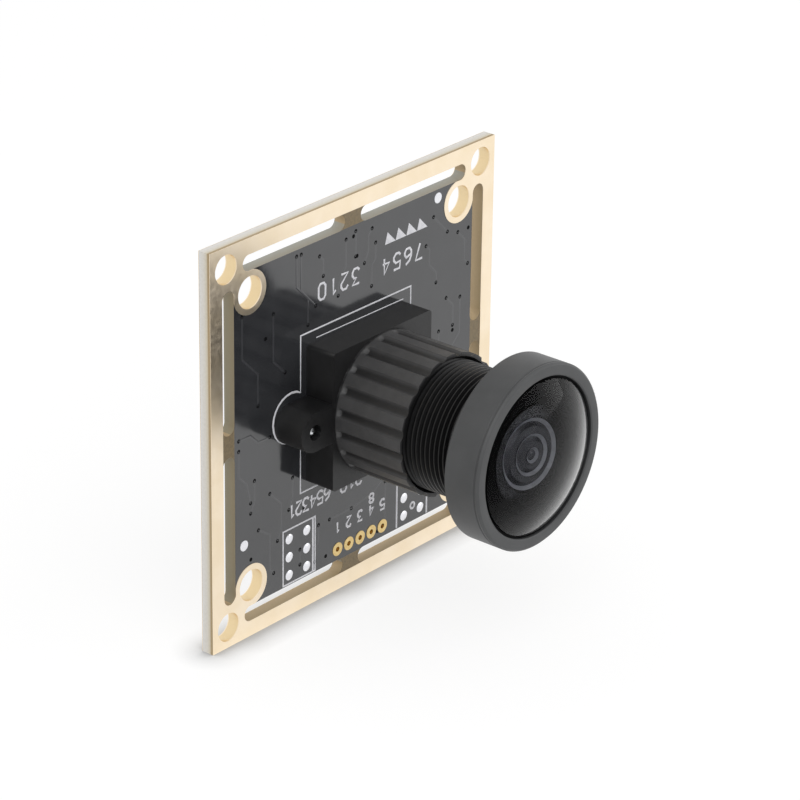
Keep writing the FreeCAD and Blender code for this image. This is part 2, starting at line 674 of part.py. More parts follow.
# Back of the board. These depths are behind the back face.
CHIP_FACE = "-board_thick - chip_lead_thick"
controller_chip = centred_block("controller_chip", "chip_x", "chip_z", "chip_side", "chip_side",
                                CHIP_FACE + " - chip_thick", CHIP_FACE)
lands = []
count = int(value_of("chip_lead_count"))
for index in range(count):
    along = "(%d - (chip_lead_count - 1) / 2) * chip_lead_pitch" % index
    across = "(chip_side / 2 + chip_lead_out - chip_lead_long / 2)"
    for side, sign in SIGNS:
        lands.append(centred_block("land_x%d_%s" % (index, side), "chip_x + " + along, "chip_z + (%s%s)" % (sign, across),
                                   "chip_lead_wide", "chip_lead_long", CHIP_FACE, BACK))
        lands.append(centred_block("land_z%d_%s" % (index, side), "chip_x + (%s%s)" % (sign, across), "chip_z + " + along,
                                   "chip_lead_long", "chip_lead_wide", CHIP_FACE, BACK))
controller_leads = group("controller_leads", lands)


def winged_lead(name, x, z, half_body, sign, width):
    """A bent lead: a foot on the board, a riser, and a shoulder that meets the body's side."""
    def span(tag, near, far, start, end):
        inner = "(%s) + (%s(%s))" % (z, sign, near)
        outer = "(%s) + (%s(%s))" % (z, sign, far)
        low, high = (outer, inner) if sign else (inner, outer)
        return block("%s_%s" % (name, tag), "(%s) - %s / 2" % (x, width), "(%s) + %s / 2" % (x, width),
                     low, high, start, end)
    riser_far = "%s + lead_out - lead_foot + lead_thick" % half_body
    riser_near = "%s + lead_out - lead_foot" % half_body
    return joined(name, [
        span("foot", riser_near, "%s + lead_out" % half_body, BACK + " - lead_thick", BACK),
        span("riser", riser_near, riser_far, BACK + " - lead_rise", BACK),
        span("shoulder", half_body, riser_far, BACK + " - lead_rise", BACK + " - lead_rise + lead_thick")])


RAISED = "-board_thick - stand_off"
memory_chip = centred_block("memory_chip", "memory_x", "memory_z", "memory_long", "memory_wide",
                            RAISED + " - memory_thick", RAISED)
memory_leads = group("memory_leads", [
    winged_lead("memory_lead_%s%d" % (side, index), "memory_x + (%d - 1.5) * memory_pitch" % index, "memory_z",
                "memory_wide / 2", sign, "memory_lead_wide")
    for side, sign in SIGNS for index in range(4)])
crystal_can = centred_block("crystal_can", "crystal_x", "crystal_z", "crystal_long", "crystal_wide",
                            BACK + " - crystal_thick", BACK)

REGULATOR_SPOTS = [("right_low", "regulator_x", "regulator_low_z"), ("left_low", "-regulator_x", "regulator_low_z"),
                   ("right_high", "regulator_x", "regulator_high_z")]
regulator_blocks = []
regulator_wings = []
for spot, x, z in REGULATOR_SPOTS:
    regulator_blocks.append(centred_block("regulator_" + spot, x, z, "regulator_long", "regulator_wide",
                                          RAISED + " - regulator_thick", RAISED))
    for side, sign in SIGNS:
        for step in ((-1, 0, 1) if side == "low" else (-1, 1)):
            regulator_wings.append(winged_lead("regulator_lead_%s_%s%d" % (spot, side, step + 1),
                                               "(%s) + (%d) * regulator_pitch" % (x, step), z,
                                               "regulator_wide / 2", sign, "regulator_lead_wide"))
regulator_bodies = group("regulator_bodies", regulator_blocks)
regulator_leads = group("regulator_leads", regulator_wings)
power_inductor = centred_block("power_inductor", "inductor_x", "inductor_z", "inductor_side", "inductor_side",
                               BACK + " - inductor_thick", BACK)

LOW_ROW = [("(%d) * small_pitch" % step, "low_row_z") for step in (-2, -1, 0, 1, 2)]
HIGH_ROW = [("(%d) * small_pitch" % step, "high_row_z") for step in (-2, -1, 0, 1, 2)]
SIDE_COLUMN = "(board_side / 2 - side_column_inset)"
LEFT_COLUMN = [("-" + SIDE_COLUMN, "(%d) * small_pitch" % step) for step in (-1, 0, 1)]
RIGHT_COLUMN = [(SIDE_COLUMN, "(%d) * small_pitch" % step) for step in (-1, 0, 1)]


def small_parts(kind, spots, height):
    """Small two-ended parts standing along Z: a body and two metal ends that meet it face to face."""
    bodies = []
    ends = []
    top = BACK + " - " + height
    for index, (x, z) in enumerate(spots):
        bodies.append(centred_block("%s_core%d" % (kind, index), x, z, "small_wide", "small_long - 2 * small_end",
                                    top, BACK))
        for side, sign in SIGNS:
            middle = "(%s) + (%s(small_long / 2 - small_end / 2))" % (z, sign)
            ends.append(centred_block("%s_cap%d_%s" % (kind, index, side), x, middle, "small_wide", "small_end",
                                      top, BACK))
    return group(kind + "_bodies", bodies), group(kind + "_ends", ends)


capacitor_bodies, capacitor_ends = small_parts("capacitor", LOW_ROW + HIGH_ROW, "capacitor_high")
resistor_bodies, resistor_ends = small_parts("resistor", LEFT_COLUMN + RIGHT_COLUMN, "resistor_high")

# Cable socket: a shroud that opens upwards near the board's top edge, low enough that it isn't seen through
# the slots from the front, with five bent pins through its lower wall.
SOCKET_LEFT = "socket_x - socket_long / 2"
SOCKET_RIGHT = "socket_x + socket_long / 2"
SOCKET_FOOT = "socket_edge_z - socket_wide"
shroud = block("socket_blank", SOCKET_LEFT, SOCKET_RIGHT, SOCKET_FOOT, "socket_edge_z", BACK + " - socket_high", BACK)
mouth = block("socket_mouth", SOCKET_LEFT + " + socket_wall", SOCKET_RIGHT + " - socket_wall",
              SOCKET_FOOT + " + socket_back_wall", "socket_edge_z + 1",
              BACK + " - socket_high + socket_wall", BACK + " - socket_wall")
pins = []
PIN_DEPTH = BACK + " - socket_high / 2"
for index in range(5):
    x = "socket_x + (%d) * pin_pitch" % (index - 2)
    x_low = x + " - pin_side / 2"
    x_high = x + " + pin_side / 2"
    prong = block("pin_prong%d" % index, x_low, x_high, SOCKET_FOOT + " - pin_tail", "socket_edge_z - pin_short",
                  PIN_DEPTH + " - pin_side / 2", PIN_DEPTH + " + pin_side / 2")
    leg = block("pin_leg%d" % index, x_low, x_high, SOCKET_FOOT + " - pin_tail", SOCKET_FOOT + " - pin_tail + pin_side",
                PIN_DEPTH + " - pin_side / 2", BACK)
    pins.append(joined("pin%d" % index, [prong, leg]))
socket_pins = group("socket_pins", pins)
socket_housing = less("socket_housing", less("socket_shroud", shroud, mouth), socket_pins)

NODES = [
    circuit_board, frame_plating, test_pads, header_pads, fiducial_pads,
    lens_holder, holder_screws, ir_filter, sensor_body, sensor_die, sensor_glass,
    lens_barrel, front_ring, front_glass, second_glass, third_glass, fourth_glass, rear_glass,
    spacer_ring_front, spacer_ring_middle, aperture_stop, spacer_ring_rear, rear_retainer,
    controller_chip, controller_leads, memory_chip, memory_leads, crystal_can,
    regulator_bodies, regulator_leads, power_inductor,
    capacitor_bodies, capacitor_ends, resistor_bodies, resistor_ends,
    socket_housing, socket_pins,
]
for node in NODES:
    node.Label = node.Name
doc.recompute()

for obj in doc.Objects:
    if "Invalid" in obj.State or "Error" in obj.State:
        raise ValueError("%s failed: %s" % (obj.Name, obj.State))
for node in NODES:
    if node.Shape.isNull() or not node.Shape.isValid():
        raise ValueError(node.Label + " has no valid shape")

os.makedirs("parts", exist_ok=True)
for node in NODES:
    node.Shape.exportStep(os.path.join("parts", node.Label + ".step"))
    box = node.Shape.BoundBox
    print("%-20s solids %2d  volume %9.3f  x %7.2f..%6.2f  y %7.2f..%6.2f  z %7.2f..%6.2f" % (
        node.Label, len(node.Shape.Solids), node.Shape.Volume,
        box.XMin, box.XMax, box.YMin, box.YMax, box.ZMin, box.ZMax))
print("nodes", len(NODES))
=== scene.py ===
import math

import bpy
from mathutils import Matrix, Vector


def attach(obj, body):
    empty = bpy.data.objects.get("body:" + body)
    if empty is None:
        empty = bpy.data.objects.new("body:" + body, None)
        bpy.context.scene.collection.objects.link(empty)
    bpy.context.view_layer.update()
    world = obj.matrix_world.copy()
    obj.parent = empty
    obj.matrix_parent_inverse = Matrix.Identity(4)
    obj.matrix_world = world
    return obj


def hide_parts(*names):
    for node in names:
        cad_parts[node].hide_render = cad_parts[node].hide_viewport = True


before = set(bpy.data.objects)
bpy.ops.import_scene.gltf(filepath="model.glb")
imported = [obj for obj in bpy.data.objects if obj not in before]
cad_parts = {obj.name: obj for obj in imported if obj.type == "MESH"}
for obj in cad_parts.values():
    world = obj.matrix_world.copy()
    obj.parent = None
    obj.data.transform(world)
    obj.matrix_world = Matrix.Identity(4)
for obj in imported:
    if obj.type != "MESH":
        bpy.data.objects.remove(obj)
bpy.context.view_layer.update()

# A board camera: a square circuit board in a plated break-away frame, a ribbed lens holder, and a
# wide lens that turns in the holder's thread.
# Each new piece is drawn in millimetres with X to the right, Y up and Z out towards the lens
# ("depth" from the board's front face), and then stood up into the frame, where the lens looks along -Y.

MM = 0.001

# Board
BOARD_HALF = 19.0
BOARD_THICK = 1.2
FRAME_INNER = 16.0
# Lens holder
BASE_HALF = 6.65
BASE_DEPTH = 3.1
BASE_WALL = 0.9
BASE_CORNER = 0.35
ROOF_UNDER = 2.3
WINDOW_RAD = 4.2
EAR_REACH = 9.0
EAR_RAD = 1.85
EAR_HOLE_RAD = 0.72
TUBE_RAD = 6.62
TUBE_REAR = 2.6
TUBE_FRONT = 10.7
BORE_RAD = 6.0
MOUTH_RAD = 6.25
MOUTH_DEPTH = 0.4
RIB_COUNT = 20
RIB_TURN = math.radians(8.0)
GROOVE_RAD = 0.6
GROOVE_DEEP = 0.3
GROOVE_START = 3.4
GROOVE_RUN_OUT = 0.35
# Lens
STEM_RAD = 5.97
STEM_ROOT_RAD = 5.68
THREAD_PITCH = 0.5
LENS_REAR = 4.4
HEAD_REAR = 17.0
HEAD_FACE = 20.4
HEAD_FRONT = 20.8
HEAD_RAD = 8.5
HEAD_BEVEL = 0.22
SEAM_DEEP = 0.1
NECK_RAD = 5.4
OPENING_RAD = 7.35
SEAT_RAD = 7.68
SEAT_DEPTH = 19.0
CAVITY_RAD = 4.9
SHOULDER_FRONT = 18.4
SHOULDER_REAR = 17.4
SHOULDER_RAD = 3.9
BARREL_REAR = SHOULDER_REAR - 0.8
SECOND_RIM = 1.4
SECOND_CURVE = 8.0
STACK_RAD = 4.6
GLASS_GAP = 0.03
GLASS_EDGE = 20.66
EDGE_BLACK = 0.28
DOME_TOP = 22.57
HOLLOW_CURVE = 6.6
HOLLOW_EDGE = 4.8
# Points nearer to the lens axis than this close at the pole
POLE = 0.01


# Making and shaping pieces

def leave_edit():
    bpy.ops.object.mode_set(mode="OBJECT")


def deselect():
    if bpy.context.mode != "OBJECT":
        leave_edit()
    bpy.ops.object.select_all(action="DESELECT")


def make_active(piece):
    deselect()
    piece.select_set(True)
    bpy.context.view_layer.objects.active = piece


def named(name):
    """The primitive that was just added, under its name."""
    piece = bpy.context.active_object
    piece.name = name
    piece.data.name = name
    return piece


def settle(piece):
    """Puts the piece's place, turn and size into its mesh."""
    make_active(piece)
    bpy.ops.object.transform_apply(location=True, rotation=True, scale=True)


def block(name, x_span, y_span, depth_span):
    """A box between two values on each axis."""
    spans = (x_span, y_span, depth_span)
    deselect()
    bpy.ops.mesh.primitive_cube_add(size=1, location=[(low + high) / 2 for low, high in spans])
    piece = named(name)
    piece.scale = [high - low for low, high in spans]
    settle(piece)
    return piece


def rod(name, x, y, radius, depth_span, sides=64):
    """A round rod along the lens axis."""
    low, high = depth_span
    deselect()
    bpy.ops.mesh.primitive_cylinder_add(vertices=sides, radius=radius, depth=high - low,
                                        location=(x, y, (low + high) / 2))
    piece = named(name)
    settle(piece)
    return piece


def pick(piece, kind, test):
    """Opens the piece for editing with the vertices, edges or faces selected that pass the test."""
    make_active(piece)
    mesh = piece.data
    for items in (mesh.vertices, mesh.edges, mesh.polygons):
        items.foreach_set("select", [False] * len(items))
    if kind == "VERT":
        for vertex in mesh.vertices:
            vertex.select = test(vertex.co)
    elif kind == "EDGE":
        for edge in mesh.edges:
            first, second = (mesh.vertices[index].co for index in edge.vertices)
            edge.select = test(first, second)
    else:
        for face in mesh.polygons:
            face.select = test(face.center, face.normal)
    bpy.context.tool_settings.mesh_select_mode = (kind == "VERT", kind == "EDGE", kind == "FACE")
    bpy.ops.object.mode_set(mode="EDIT")


def edit_all(piece):
    make_active(piece)
    bpy.ops.object.mode_set(mode="EDIT")
    bpy.ops.mesh.select_mode(type="VERT")
    bpy.ops.mesh.select_all(action="SELECT")


def pull(x, y, depth):
    """Extrudes the selected faces, or a selected line, by a distance on each axis."""
    bpy.ops.mesh.extrude_region_move(TRANSFORM_OT_translate={"value": (x, y, depth)})


def clean(piece):
    """Merges doubled points and turns all faces outwards."""
    edit_all(piece)
    bpy.ops.mesh.remove_doubles(threshold=0.0005)
    bpy.ops.mesh.normals_make_consistent(inside=False)
    leave_edit()


def modify(piece, kind, **settings):
    """Adds a modifier and applies it."""
    make_active(piece)
    modifier = piece.modifiers.new(kind.lower(), kind)
    for key, value in settings.items():
        setattr(modifier, key, value)
    bpy.ops.object.modifier_apply(modifier=modifier.name)


def combine(piece, tool, operation):
    """Unites the piece with the tool, or cuts the tool out of it."""
    modify(piece, "BOOLEAN", operation=operation, solver="EXACT", object=tool)
    bpy.data.objects.remove(tool)


def soften(piece, width, segments=2, angle=35.0):
    """Rounds the edges that are sharper than the angle."""
    modify(piece, "BEVEL", width=width, segments=segments, limit_method="ANGLE",
           angle_limit=math.radians(angle), use_clamp_overlap=True, harden_normals=False)


def drawn_line(name, points):
    """A line of edges through radius and depth points, made by pulling one corner of a plane along."""
    deselect()
    bpy.ops.mesh.primitive_plane_add(size=1)
    piece = named(name)
    pick(piece, "VERT", lambda co: co.x > 0 or co.y > 0)
    bpy.ops.mesh.delete(type="VERT")
    bpy.ops.mesh.select_all(action="SELECT")
    at_radius, at_depth = points[0]
    bpy.ops.transform.translate(value=(at_radius + 0.5, 0.5, at_depth))
    for radius, depth in points[1:]:
        bpy.ops.mesh.extrude_vertices_move(
            TRANSFORM_OT_translate={"value": (radius - at_radius, 0, depth - at_depth)})
        at_radius, at_depth = radius, depth
    leave_edit()
    return piece


def turned(name, profile, steps=128, poles=False):
    """A piece turned about the lens axis from radius and depth points, closed as a ring or at two poles."""
    path = list(profile)
    if not poles:
        path.append(path[0])
    at_radius, at_depth = path[0]
    deselect()
    bpy.ops.mesh.primitive_circle_add(vertices=steps, radius=at_radius, location=(0, 0, at_depth),
                                      fill_type="NOTHING")
    piece = named(name)
    settle(piece)
    edit_all(piece)
    if poles:
        bpy.ops.mesh.extrude_edges_move()
        bpy.ops.mesh.merge(type="CENTER")
        leave_edit()
        pick(piece, "VERT", lambda co: co.xy.length > at_radius / 2)
    for radius, depth in path[1:]:
        bpy.ops.mesh.extrude_edges_move(TRANSFORM_OT_translate={"value": (0, 0, depth - at_depth)})
        share = radius / at_radius
        bpy.ops.transform.resize(value=(share, share, 1), center_override=(0, 0, depth))
        at_radius, at_depth = radius, depth
    if poles:
        bpy.ops.mesh.merge(type="CENTER")
    leave_edit()
    clean(piece)
    return piece


def stand(piece, body, finish, smooth=35.0):
    """Takes a drawn piece into the frame, in metres, gives it its finish and lets it ride on its body."""
    settle(piece)
    piece.rotation_euler = (math.radians(90), 0, 0)
    piece.scale = (MM, MM, MM)
    settle(piece)
    bpy.ops.object.shade_smooth_by_angle(angle=math.radians(smooth))
    modify(piece, "WEIGHTED_NORMAL", keep_sharp=True, weight=50)
    piece.data.materials.clear()
    piece.data.materials.append(FINISHES[finish])
    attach(piece, body)


def part_finish(piece, finish, test):
    """Gives the faces whose radius and depth from the board, in millimetres, pass the test another finish."""
    piece.data.materials.append(FINISHES[finish])
    for face in piece.data.polygons:
        x, y, z = face.center / MM
        if test(math.hypot(x, z), -y):
            face.material_index = len(piece.data.materials) - 1


def copies(piece, places):
    """The piece at each place (x, y, turn in degrees), each with its own mesh, joined into one object."""
    made = []
    for x, y, turn in places:
        twin = piece.copy()
        twin.data = piece.data.copy()
        bpy.context.scene.collection.objects.link(twin)
        twin.rotation_euler = (0, 0, math.radians(turn))
        twin.location = (x, y, 0)
        settle(twin)
        made.append(twin)
    name = piece.name
    bpy.data.objects.remove(piece)
    make_active(made[0])
    for twin in made:
        twin.select_set(True)
    bpy.ops.object.join()
    return named(name)


def raised_lines(name, runs, width, height, face=0.0):
    """Printed or covered lines that stand up from a face of the board by a hair, with rounded shoulders."""
    curve = bpy.data.curves.new(name, "CURVE")
    curve.dimensions = "3D"
    curve.bevel_depth = width / 2
    curve.bevel_resolution = 1
    curve.use_fill_caps = True
    for run in runs:
        spline = curve.splines.new("POLY")
        closed = run[0] == run[-1]
        points = run[:-1] if closed else run
        spline.points.add(len(points) - 1)
        for point, (x, y) in zip(spline.points, points):
            point.co = (x, y, 0, 1)
        spline.use_cyclic_u = closed
    piece = bpy.data.objects.new(name, curve)
    bpy.context.scene.collection.objects.link(piece)
    make_active(piece)
    bpy.ops.object.convert(target="MESH")
    piece = named(name)
    piece.scale = (1, 1, 2 * height / width)
    piece.location = (0, 0, face)
    settle(piece)
    clean(piece)
    return piece


def arc(x, y, radius, start=0.0, end=360.0, steps=16):
    """Points on an arc, angles in degrees."""
    angles = [math.radians(start + (end - start) * step / steps) for step in range(steps + 1)]
    return [(x + radius * math.cos(angle), y + radius * math.sin(angle)) for angle in angles]


def cap_points(curve, edge_radius, edge_depth, steps):
    """Radius and depth points on a spherical face that bulges forward, from its edge to just off the axis."""
    centre = edge_depth - math.sqrt(curve ** 2 - edge_radius ** 2)
    radii = [edge_radius * (1 - index / steps) for index in range(steps)] + [POLE]
    return [(radius, centre + math.sqrt(curve ** 2 - radius ** 2)) for radius in radii]


# Plain numerals in single strokes, on a cell 0.6 wide and 1 high
CELL_WIDE = 0.6
STROKES = {
    "0": [[(.15, 0), (.45, 0), (.6, .2), (.6, .8), (.45, 1), (.15, 1), (0, .8), (0, .2), (.15, 0)]],
    "1": [[(.1, .8), (.3, 1), (.3, 0)]],
    "2": [[(0, .8), (.15, 1), (.45, 1), (.6, .8), (.6, .6), (0, 0), (.6, 0)]],
    "3": [[(0, 1), (.6, 1), (.25, .6), (.45, .6), (.6, .4), (.6, .2), (.45, 0), (.15, 0), (0, .15)]],
    "4": [[(.45, 0), (.45, 1), (0, .35), (.6, .35)]],
    "5": [[(.6, 1), (.05, 1), (0, .55), (.4, .6), (.6, .4), (.6, .2), (.4, 0), (.15, 0), (0, .15)]],
    "6": [[(.5, 1), (.15, .8), (0, .5), (0, .2), (.15, 0), (.45, 0), (.6, .2), (.6, .35), (.45, .55),
           (0, .4)]],
    "7": [[(0, 1), (.6, 1), (.2, 0)]],
    "8": [[(.15, .53), (0, .7), (0, .85), (.15, 1), (.45, 1), (.6, .85), (.6, .7), (.45, .53), (.15, .53)],
          [(.45, .53), (.6, .35), (.6, .15), (.45, 0), (.15, 0), (0, .15), (0, .35), (.15, .53)]],
}


def numerals(text, x, y, height, step, turn=0.0, side=1):
    """Strokes of a row of numerals. The first one's middle is at x, y, and step is the distance between them.
    A side of -1 makes them read right from behind."""
    runs = []
    angle = math.radians(turn)
    for index, character in enumerate(text):
        for stroke in STROKES[character]:
            points = []
            for across, up in stroke:
                dx, dy = side * (across - CELL_WIDE / 2) * height, (up - 0.5) * height
                points.append((x + side * index * step + dx * math.cos(angle) - dy * math.sin(angle),
                               y + dx * math.sin(angle) + dy * math.cos(angle)))
            runs.append(points)
    return runs


# Making finishes

# The middle of a noise pattern, where nearly all of its values lie, and the share of its finer layers
MIDDLE = {"From Min": 0.35, "From Max": 0.65}
FINER_SHARE = 0.55
# The front glass starts to mirror at this share of facing away, 64 degrees from its normal, and this fast
SHEEN_START = 0.56
SHEEN_GAIN = 3.8


def colour(text):
    """The linear colour of an sRGB hex text."""
    channels = [int(text[index:index + 2], 16) / 255 for index in (1, 3, 5)]
    linear = [c / 12.92 if c <= 0.04045 else ((c + 0.055) / 1.055) ** 2.4 for c in channels]
    return (*linear, 1.0)


def grain(size):
    """The pattern scale whose features are about this many millimetres."""
    return 1 / (size * MM)


def node(finish, kind, inputs=None, **settings):
    """Adds a node with its settings. An input is given a value, an output, or a node with one."""
    made = finish.node_tree.nodes.new("ShaderNode" + kind)
    for key, value in settings.items():
        setattr(made, key, value)
    for key, value in (inputs or {}).items():
        if isinstance(value, bpy.types.Node):
            value = next(socket for socket in value.outputs if socket.enabled)
        if isinstance(value, bpy.types.NodeSocket):
            finish.node_tree.links.new(value, made.inputs[key])
        else:
            made.inputs[key].default_value = value
    return made


def new_finish(name):
    """An empty material, and the object coordinates that its patterns follow."""
    finish = bpy.data.materials.new(name)
    finish.use_nodes = True
    finish.node_tree.nodes.clear()
    coords = node(finish, "TexCoord").outputs["Object"]
    return finish, coords


def mottled(finish, coords, size, first, second, detail=4.0):
    """Two near colours in soft patches about this many millimetres wide. Gives the colour and the pattern."""
    pattern = node(finish, "TexNoise",
                   {"Vector": coords, "Scale": grain(size), "Detail": detail, "Roughness": FINER_SHARE})
    share = node(finish, "MapRange", {"Value": pattern, "To Min": 0.0, "To Max": 1.0, **MIDDLE})
    tone = node(finish, "Mix", {"Factor": share, "A": colour(first), "B": colour(second)},
                data_type="RGBA")
    return tone, pattern


def surface_grain(finish, coords, size, roughness, height):
    """The roughness and the relief of one fine grain, in sockets of the shader."""
    fine = node(finish, "TexNoise",
                {"Vector": coords, "Scale": grain(size), "Detail": 3.0, "Roughness": FINER_SHARE})
    smoothest, roughest = roughness
    rough = node(finish, "MapRange",
                 {"Value": fine, "To Min": smoothest, "To Max": roughest, **MIDDLE})
    relief = node(finish, "Bump", {"Height": fine, "Distance": height * MM, "Strength": 1.0})
    return {"Roughness": rough, "Normal": relief}


def speckled(name, first, second, patch, roughness, grain_size, grain_height, others=None):
    """A finish of two near colours in soft patches, with a range of roughness and a fine surface grain."""
    finish, coords = new_finish(name)
    tone = mottled(finish, coords, patch, first, second)[0]
    shader = node(finish, "BsdfPrincipled",
                  {"Base Color": tone, **surface_grain(finish, coords, grain_size, roughness, grain_height),
                   **(others or {})})
    node(finish, "OutputMaterial", {"Surface": shader})
    return finish


def board_finish():
    """Glossy black solder mask with a slow ripple, bare brown laminate at the frame's bridges, and pale
    layered glass laminate on the milled edges, with painted shade on the slot walls."""
    finish, coords = new_finish("solder_mask_board")
    mask, ripple = mottled(finish, coords, 2.6, "#2A2B2E", "#303134", detail=2.0)
    bare, weave = mottled(finish, coords, 0.25, "#6A5A3C", "#7E6C4A", detail=3.0)
    place = node(finish, "VectorMath", {0: coords}, operation="ABSOLUTE")
    aside, back, up = node(finish, "SeparateXYZ", {"Vector": place}).outputs
    out = node(finish, "Math", {0: aside, 1: up}, operation="MAXIMUM")
    at_bridge = node(finish, "Math", {0: out, 1: (FRAME_INNER + 0.05) * MM}, operation="GREATER_THAN")
    # The outer edge shows the laminate's layers, from the front face to the back
    thickness = node(finish, "MapRange", {"Value": back, "From Max": BOARD_THICK * MM})
    layers = node(finish, "ValToRGB", {"Fac": thickness})
    stops = layers.color_ramp.elements
    stops[0].color = colour("#B89E74")
    stops[1].color = colour("#FDFCFA")
    for position, text in ((0.17, "#B89E74"), (0.26, "#EADFC6"), (0.5, "#F6F1E6"), (0.9, "#FCFAF6")):
        stops.new(position).color = colour(text)
    # Milled slot walls: tan on the frame's side and greyed on the board's side. Painted shade makes the
    # board's walls in the left and right slots darker and olive, and darkens all walls towards the front
    painted_shade_upright = node(finish, "Math", {0: aside, 1: up}, operation="GREATER_THAN")
    greyed = node(finish, "Mix", {"Factor": painted_shade_upright, "A": colour("#C8CCC6"), "B": colour("#A5A08A")},
                  data_type="RGBA")
    board_wall = node(finish, "Math", {0: out, 1: (FRAME_INNER + 0.5) * MM}, operation="LESS_THAN")
    # Painted shade: the walls darken towards the front face
    painted_shade_to_front = node(finish, "Math", {0: thickness, 1: -0.5, 2: 0.5}, operation="MULTIPLY_ADD")
    outermost = node(finish, "Math", {0: out, 1: (BOARD_HALF - 0.3) * MM}, operation="GREATER_THAN")
    fibres = node(finish, "Math", {0: weave, 1: 0.25}, operation="MULTIPLY")
    edge = colour("#E2C89E")
    for share, over in ((board_wall, greyed), (painted_shade_to_front, colour("#8C7852")), (outermost, layers),
                        (fibres, bare)):
        edge = node(finish, "Mix", {"Factor": share, "A": edge, "B": over}, data_type="RGBA")
    middle = BOARD_THICK / 2 * MM
    at_edge = node(finish, "Math", {0: back, 1: middle, 2: middle - 0.02 * MM}, operation="COMPARE")
    tone = mask
    for share, over in ((at_bridge, bare), (at_edge, edge)):
        tone = node(finish, "Mix", {"Factor": share, "A": tone, "B": over}, data_type="RGBA")
    gloss = node(finish, "MapRange", {"Value": ripple, "To Min": 0.09, "To Max": 0.13, **MIDDLE})
    unmasked = node(finish, "Math", {0: at_edge, 1: at_bridge}, operation="MAXIMUM")
    rough = node(finish, "Mix", {"Factor": unmasked, "A": gloss, "B": 0.62})
    height = node(finish, "Math", {0: weave, 1: 0.05, 2: ripple}, operation="MULTIPLY_ADD")
    relief = node(finish, "Bump", {"Height": height, "Distance": 0.01 * MM, "Strength": 1.0})
    shader = node(finish, "BsdfPrincipled",
                  {"Base Color": tone, "Roughness": rough, "IOR": 1.8, "Normal": relief})
    node(finish, "OutputMaterial", {"Surface": shader})
    return finish


def gold_finish():
    """Immersion gold: pale and warm with a soft, faintly clouded sheen, and a deeper tone down the holes'
    walls that is painted shade.
    """
    finish, coords = new_finish("immersion_gold")
    flat = mottled(finish, coords, 3.5, "#FBEBD2", "#F5E3C5")[0]
    back = node(finish, "SeparateXYZ", {"Vector": coords}).outputs["Y"]
    middle = BOARD_THICK / 2 * MM
    # Painted shade: the walls down the holes get a deeper tone
    painted_shade_on_walls = node(finish, "Math", {0: back, 1: middle, 2: middle - 0.06 * MM}, operation="COMPARE")
    tone = node(finish, "Mix", {"Factor": painted_shade_on_walls, "A": flat, "B": colour("#ECD5AA")}, data_type="RGBA")
    fine = node(finish, "TexNoise",
                {"Vector": coords, "Scale": grain(0.5), "Detail": 2.0, "Roughness": FINER_SHARE})
    rough = node(finish, "MapRange", {"Value": fine, "To Min": 0.3, "To Max": 0.36, **MIDDLE})
    shader = node(finish, "BsdfPrincipled", {"Base Color": tone, "Metallic": 1.0, "Roughness": rough})
    node(finish, "OutputMaterial", {"Surface": shader})
    return finish


def holder_finish():
    """Moulded glass-filled nylon: black with a spark-eroded grain, and a lighter grey on the ribs' crests
    that is a painted highlight.
    """
    finish, coords = new_finish("moulded_black_nylon")
    y = node(finish, "SeparateXYZ", {"Vector": coords}).outputs["Y"]
    across = node(finish, "VectorMath", {0: coords, 1: (1, 0, 1)}, operation="MULTIPLY")
    radius = node(finish, "VectorMath", {0: across}, operation="LENGTH")
    crest = node(finish, "MapRange",
                 {"Value": radius, "From Min": (TUBE_RAD - GROOVE_DEEP) * MM,
                  "From Max": (TUBE_RAD - 0.3 * GROOVE_DEEP) * MM}, interpolation_type="SMOOTHSTEP")
    on_tube = node(finish, "Math", {0: y, 1: -(GROOVE_START - 0.1) * MM}, operation="LESS_THAN")
    share = node(finish, "Math", {0: crest, 1: on_tube}, operation="MULTIPLY")
    body = mottled(finish, coords, 1.5, "#101011", "#171718")[0]
    # Painted highlight: the ribs' crests are drawn a lighter grey
    painted_crest_highlight = mottled(finish, coords, 1.5, "#3A3A3B", "#434344")[0]
    tone = node(finish, "Mix", {"Factor": share, "A": body, "B": painted_crest_highlight}, data_type="RGBA")
    shader = node(finish, "BsdfPrincipled",
                  {"Base Color": tone, **surface_grain(finish, coords, 0.09, (0.4, 0.52), 0.003)})
    node(finish, "OutputMaterial", {"Surface": shader})
    return finish


def glass_finish(name, tint, tint_aside, reflection, bend, bare_beyond=None):
    """Polished glass, its tint a little uneven as a coating is. Its reflection is that of a coated face, and
    where it is seen at a shallower angle than bare_beyond, the bare glass mirrors more and more."""
    finish, coords = new_finish(name)
    tone = mottled(finish, coords, 2.2, tint, tint_aside, detail=3.0)[0]
    shader = node(finish, "BsdfPrincipled",
                  {"Base Color": tone, "Roughness": 0.0, "IOR": bend, "Transmission Weight": 1.0,
                   "Specular Tint": colour(reflection)})
    if bare_beyond is not None:
        facing = node(finish, "LayerWeight", {"Blend": 0.5}).outputs["Facing"]
        beyond = node(finish, "Math", {0: facing, 1: bare_beyond}, operation="SUBTRACT")
        positive = node(finish, "Math", {0: beyond, 1: 0.0}, operation="MAXIMUM")
        squared = node(finish, "Math", {0: positive, 1: 2.0}, operation="POWER")
        share = node(finish, "Math", {0: squared, 1: SHEEN_GAIN}, operation="MULTIPLY")
        mirror = node(finish, "BsdfGlossy", {"Color": colour("#FFFFFF"), "Roughness": 0.0})
        shader = node(finish, "MixShader", {0: share, 1: shader, 2: mirror})
    node(finish, "OutputMaterial", {"Surface": shader})
    return finish


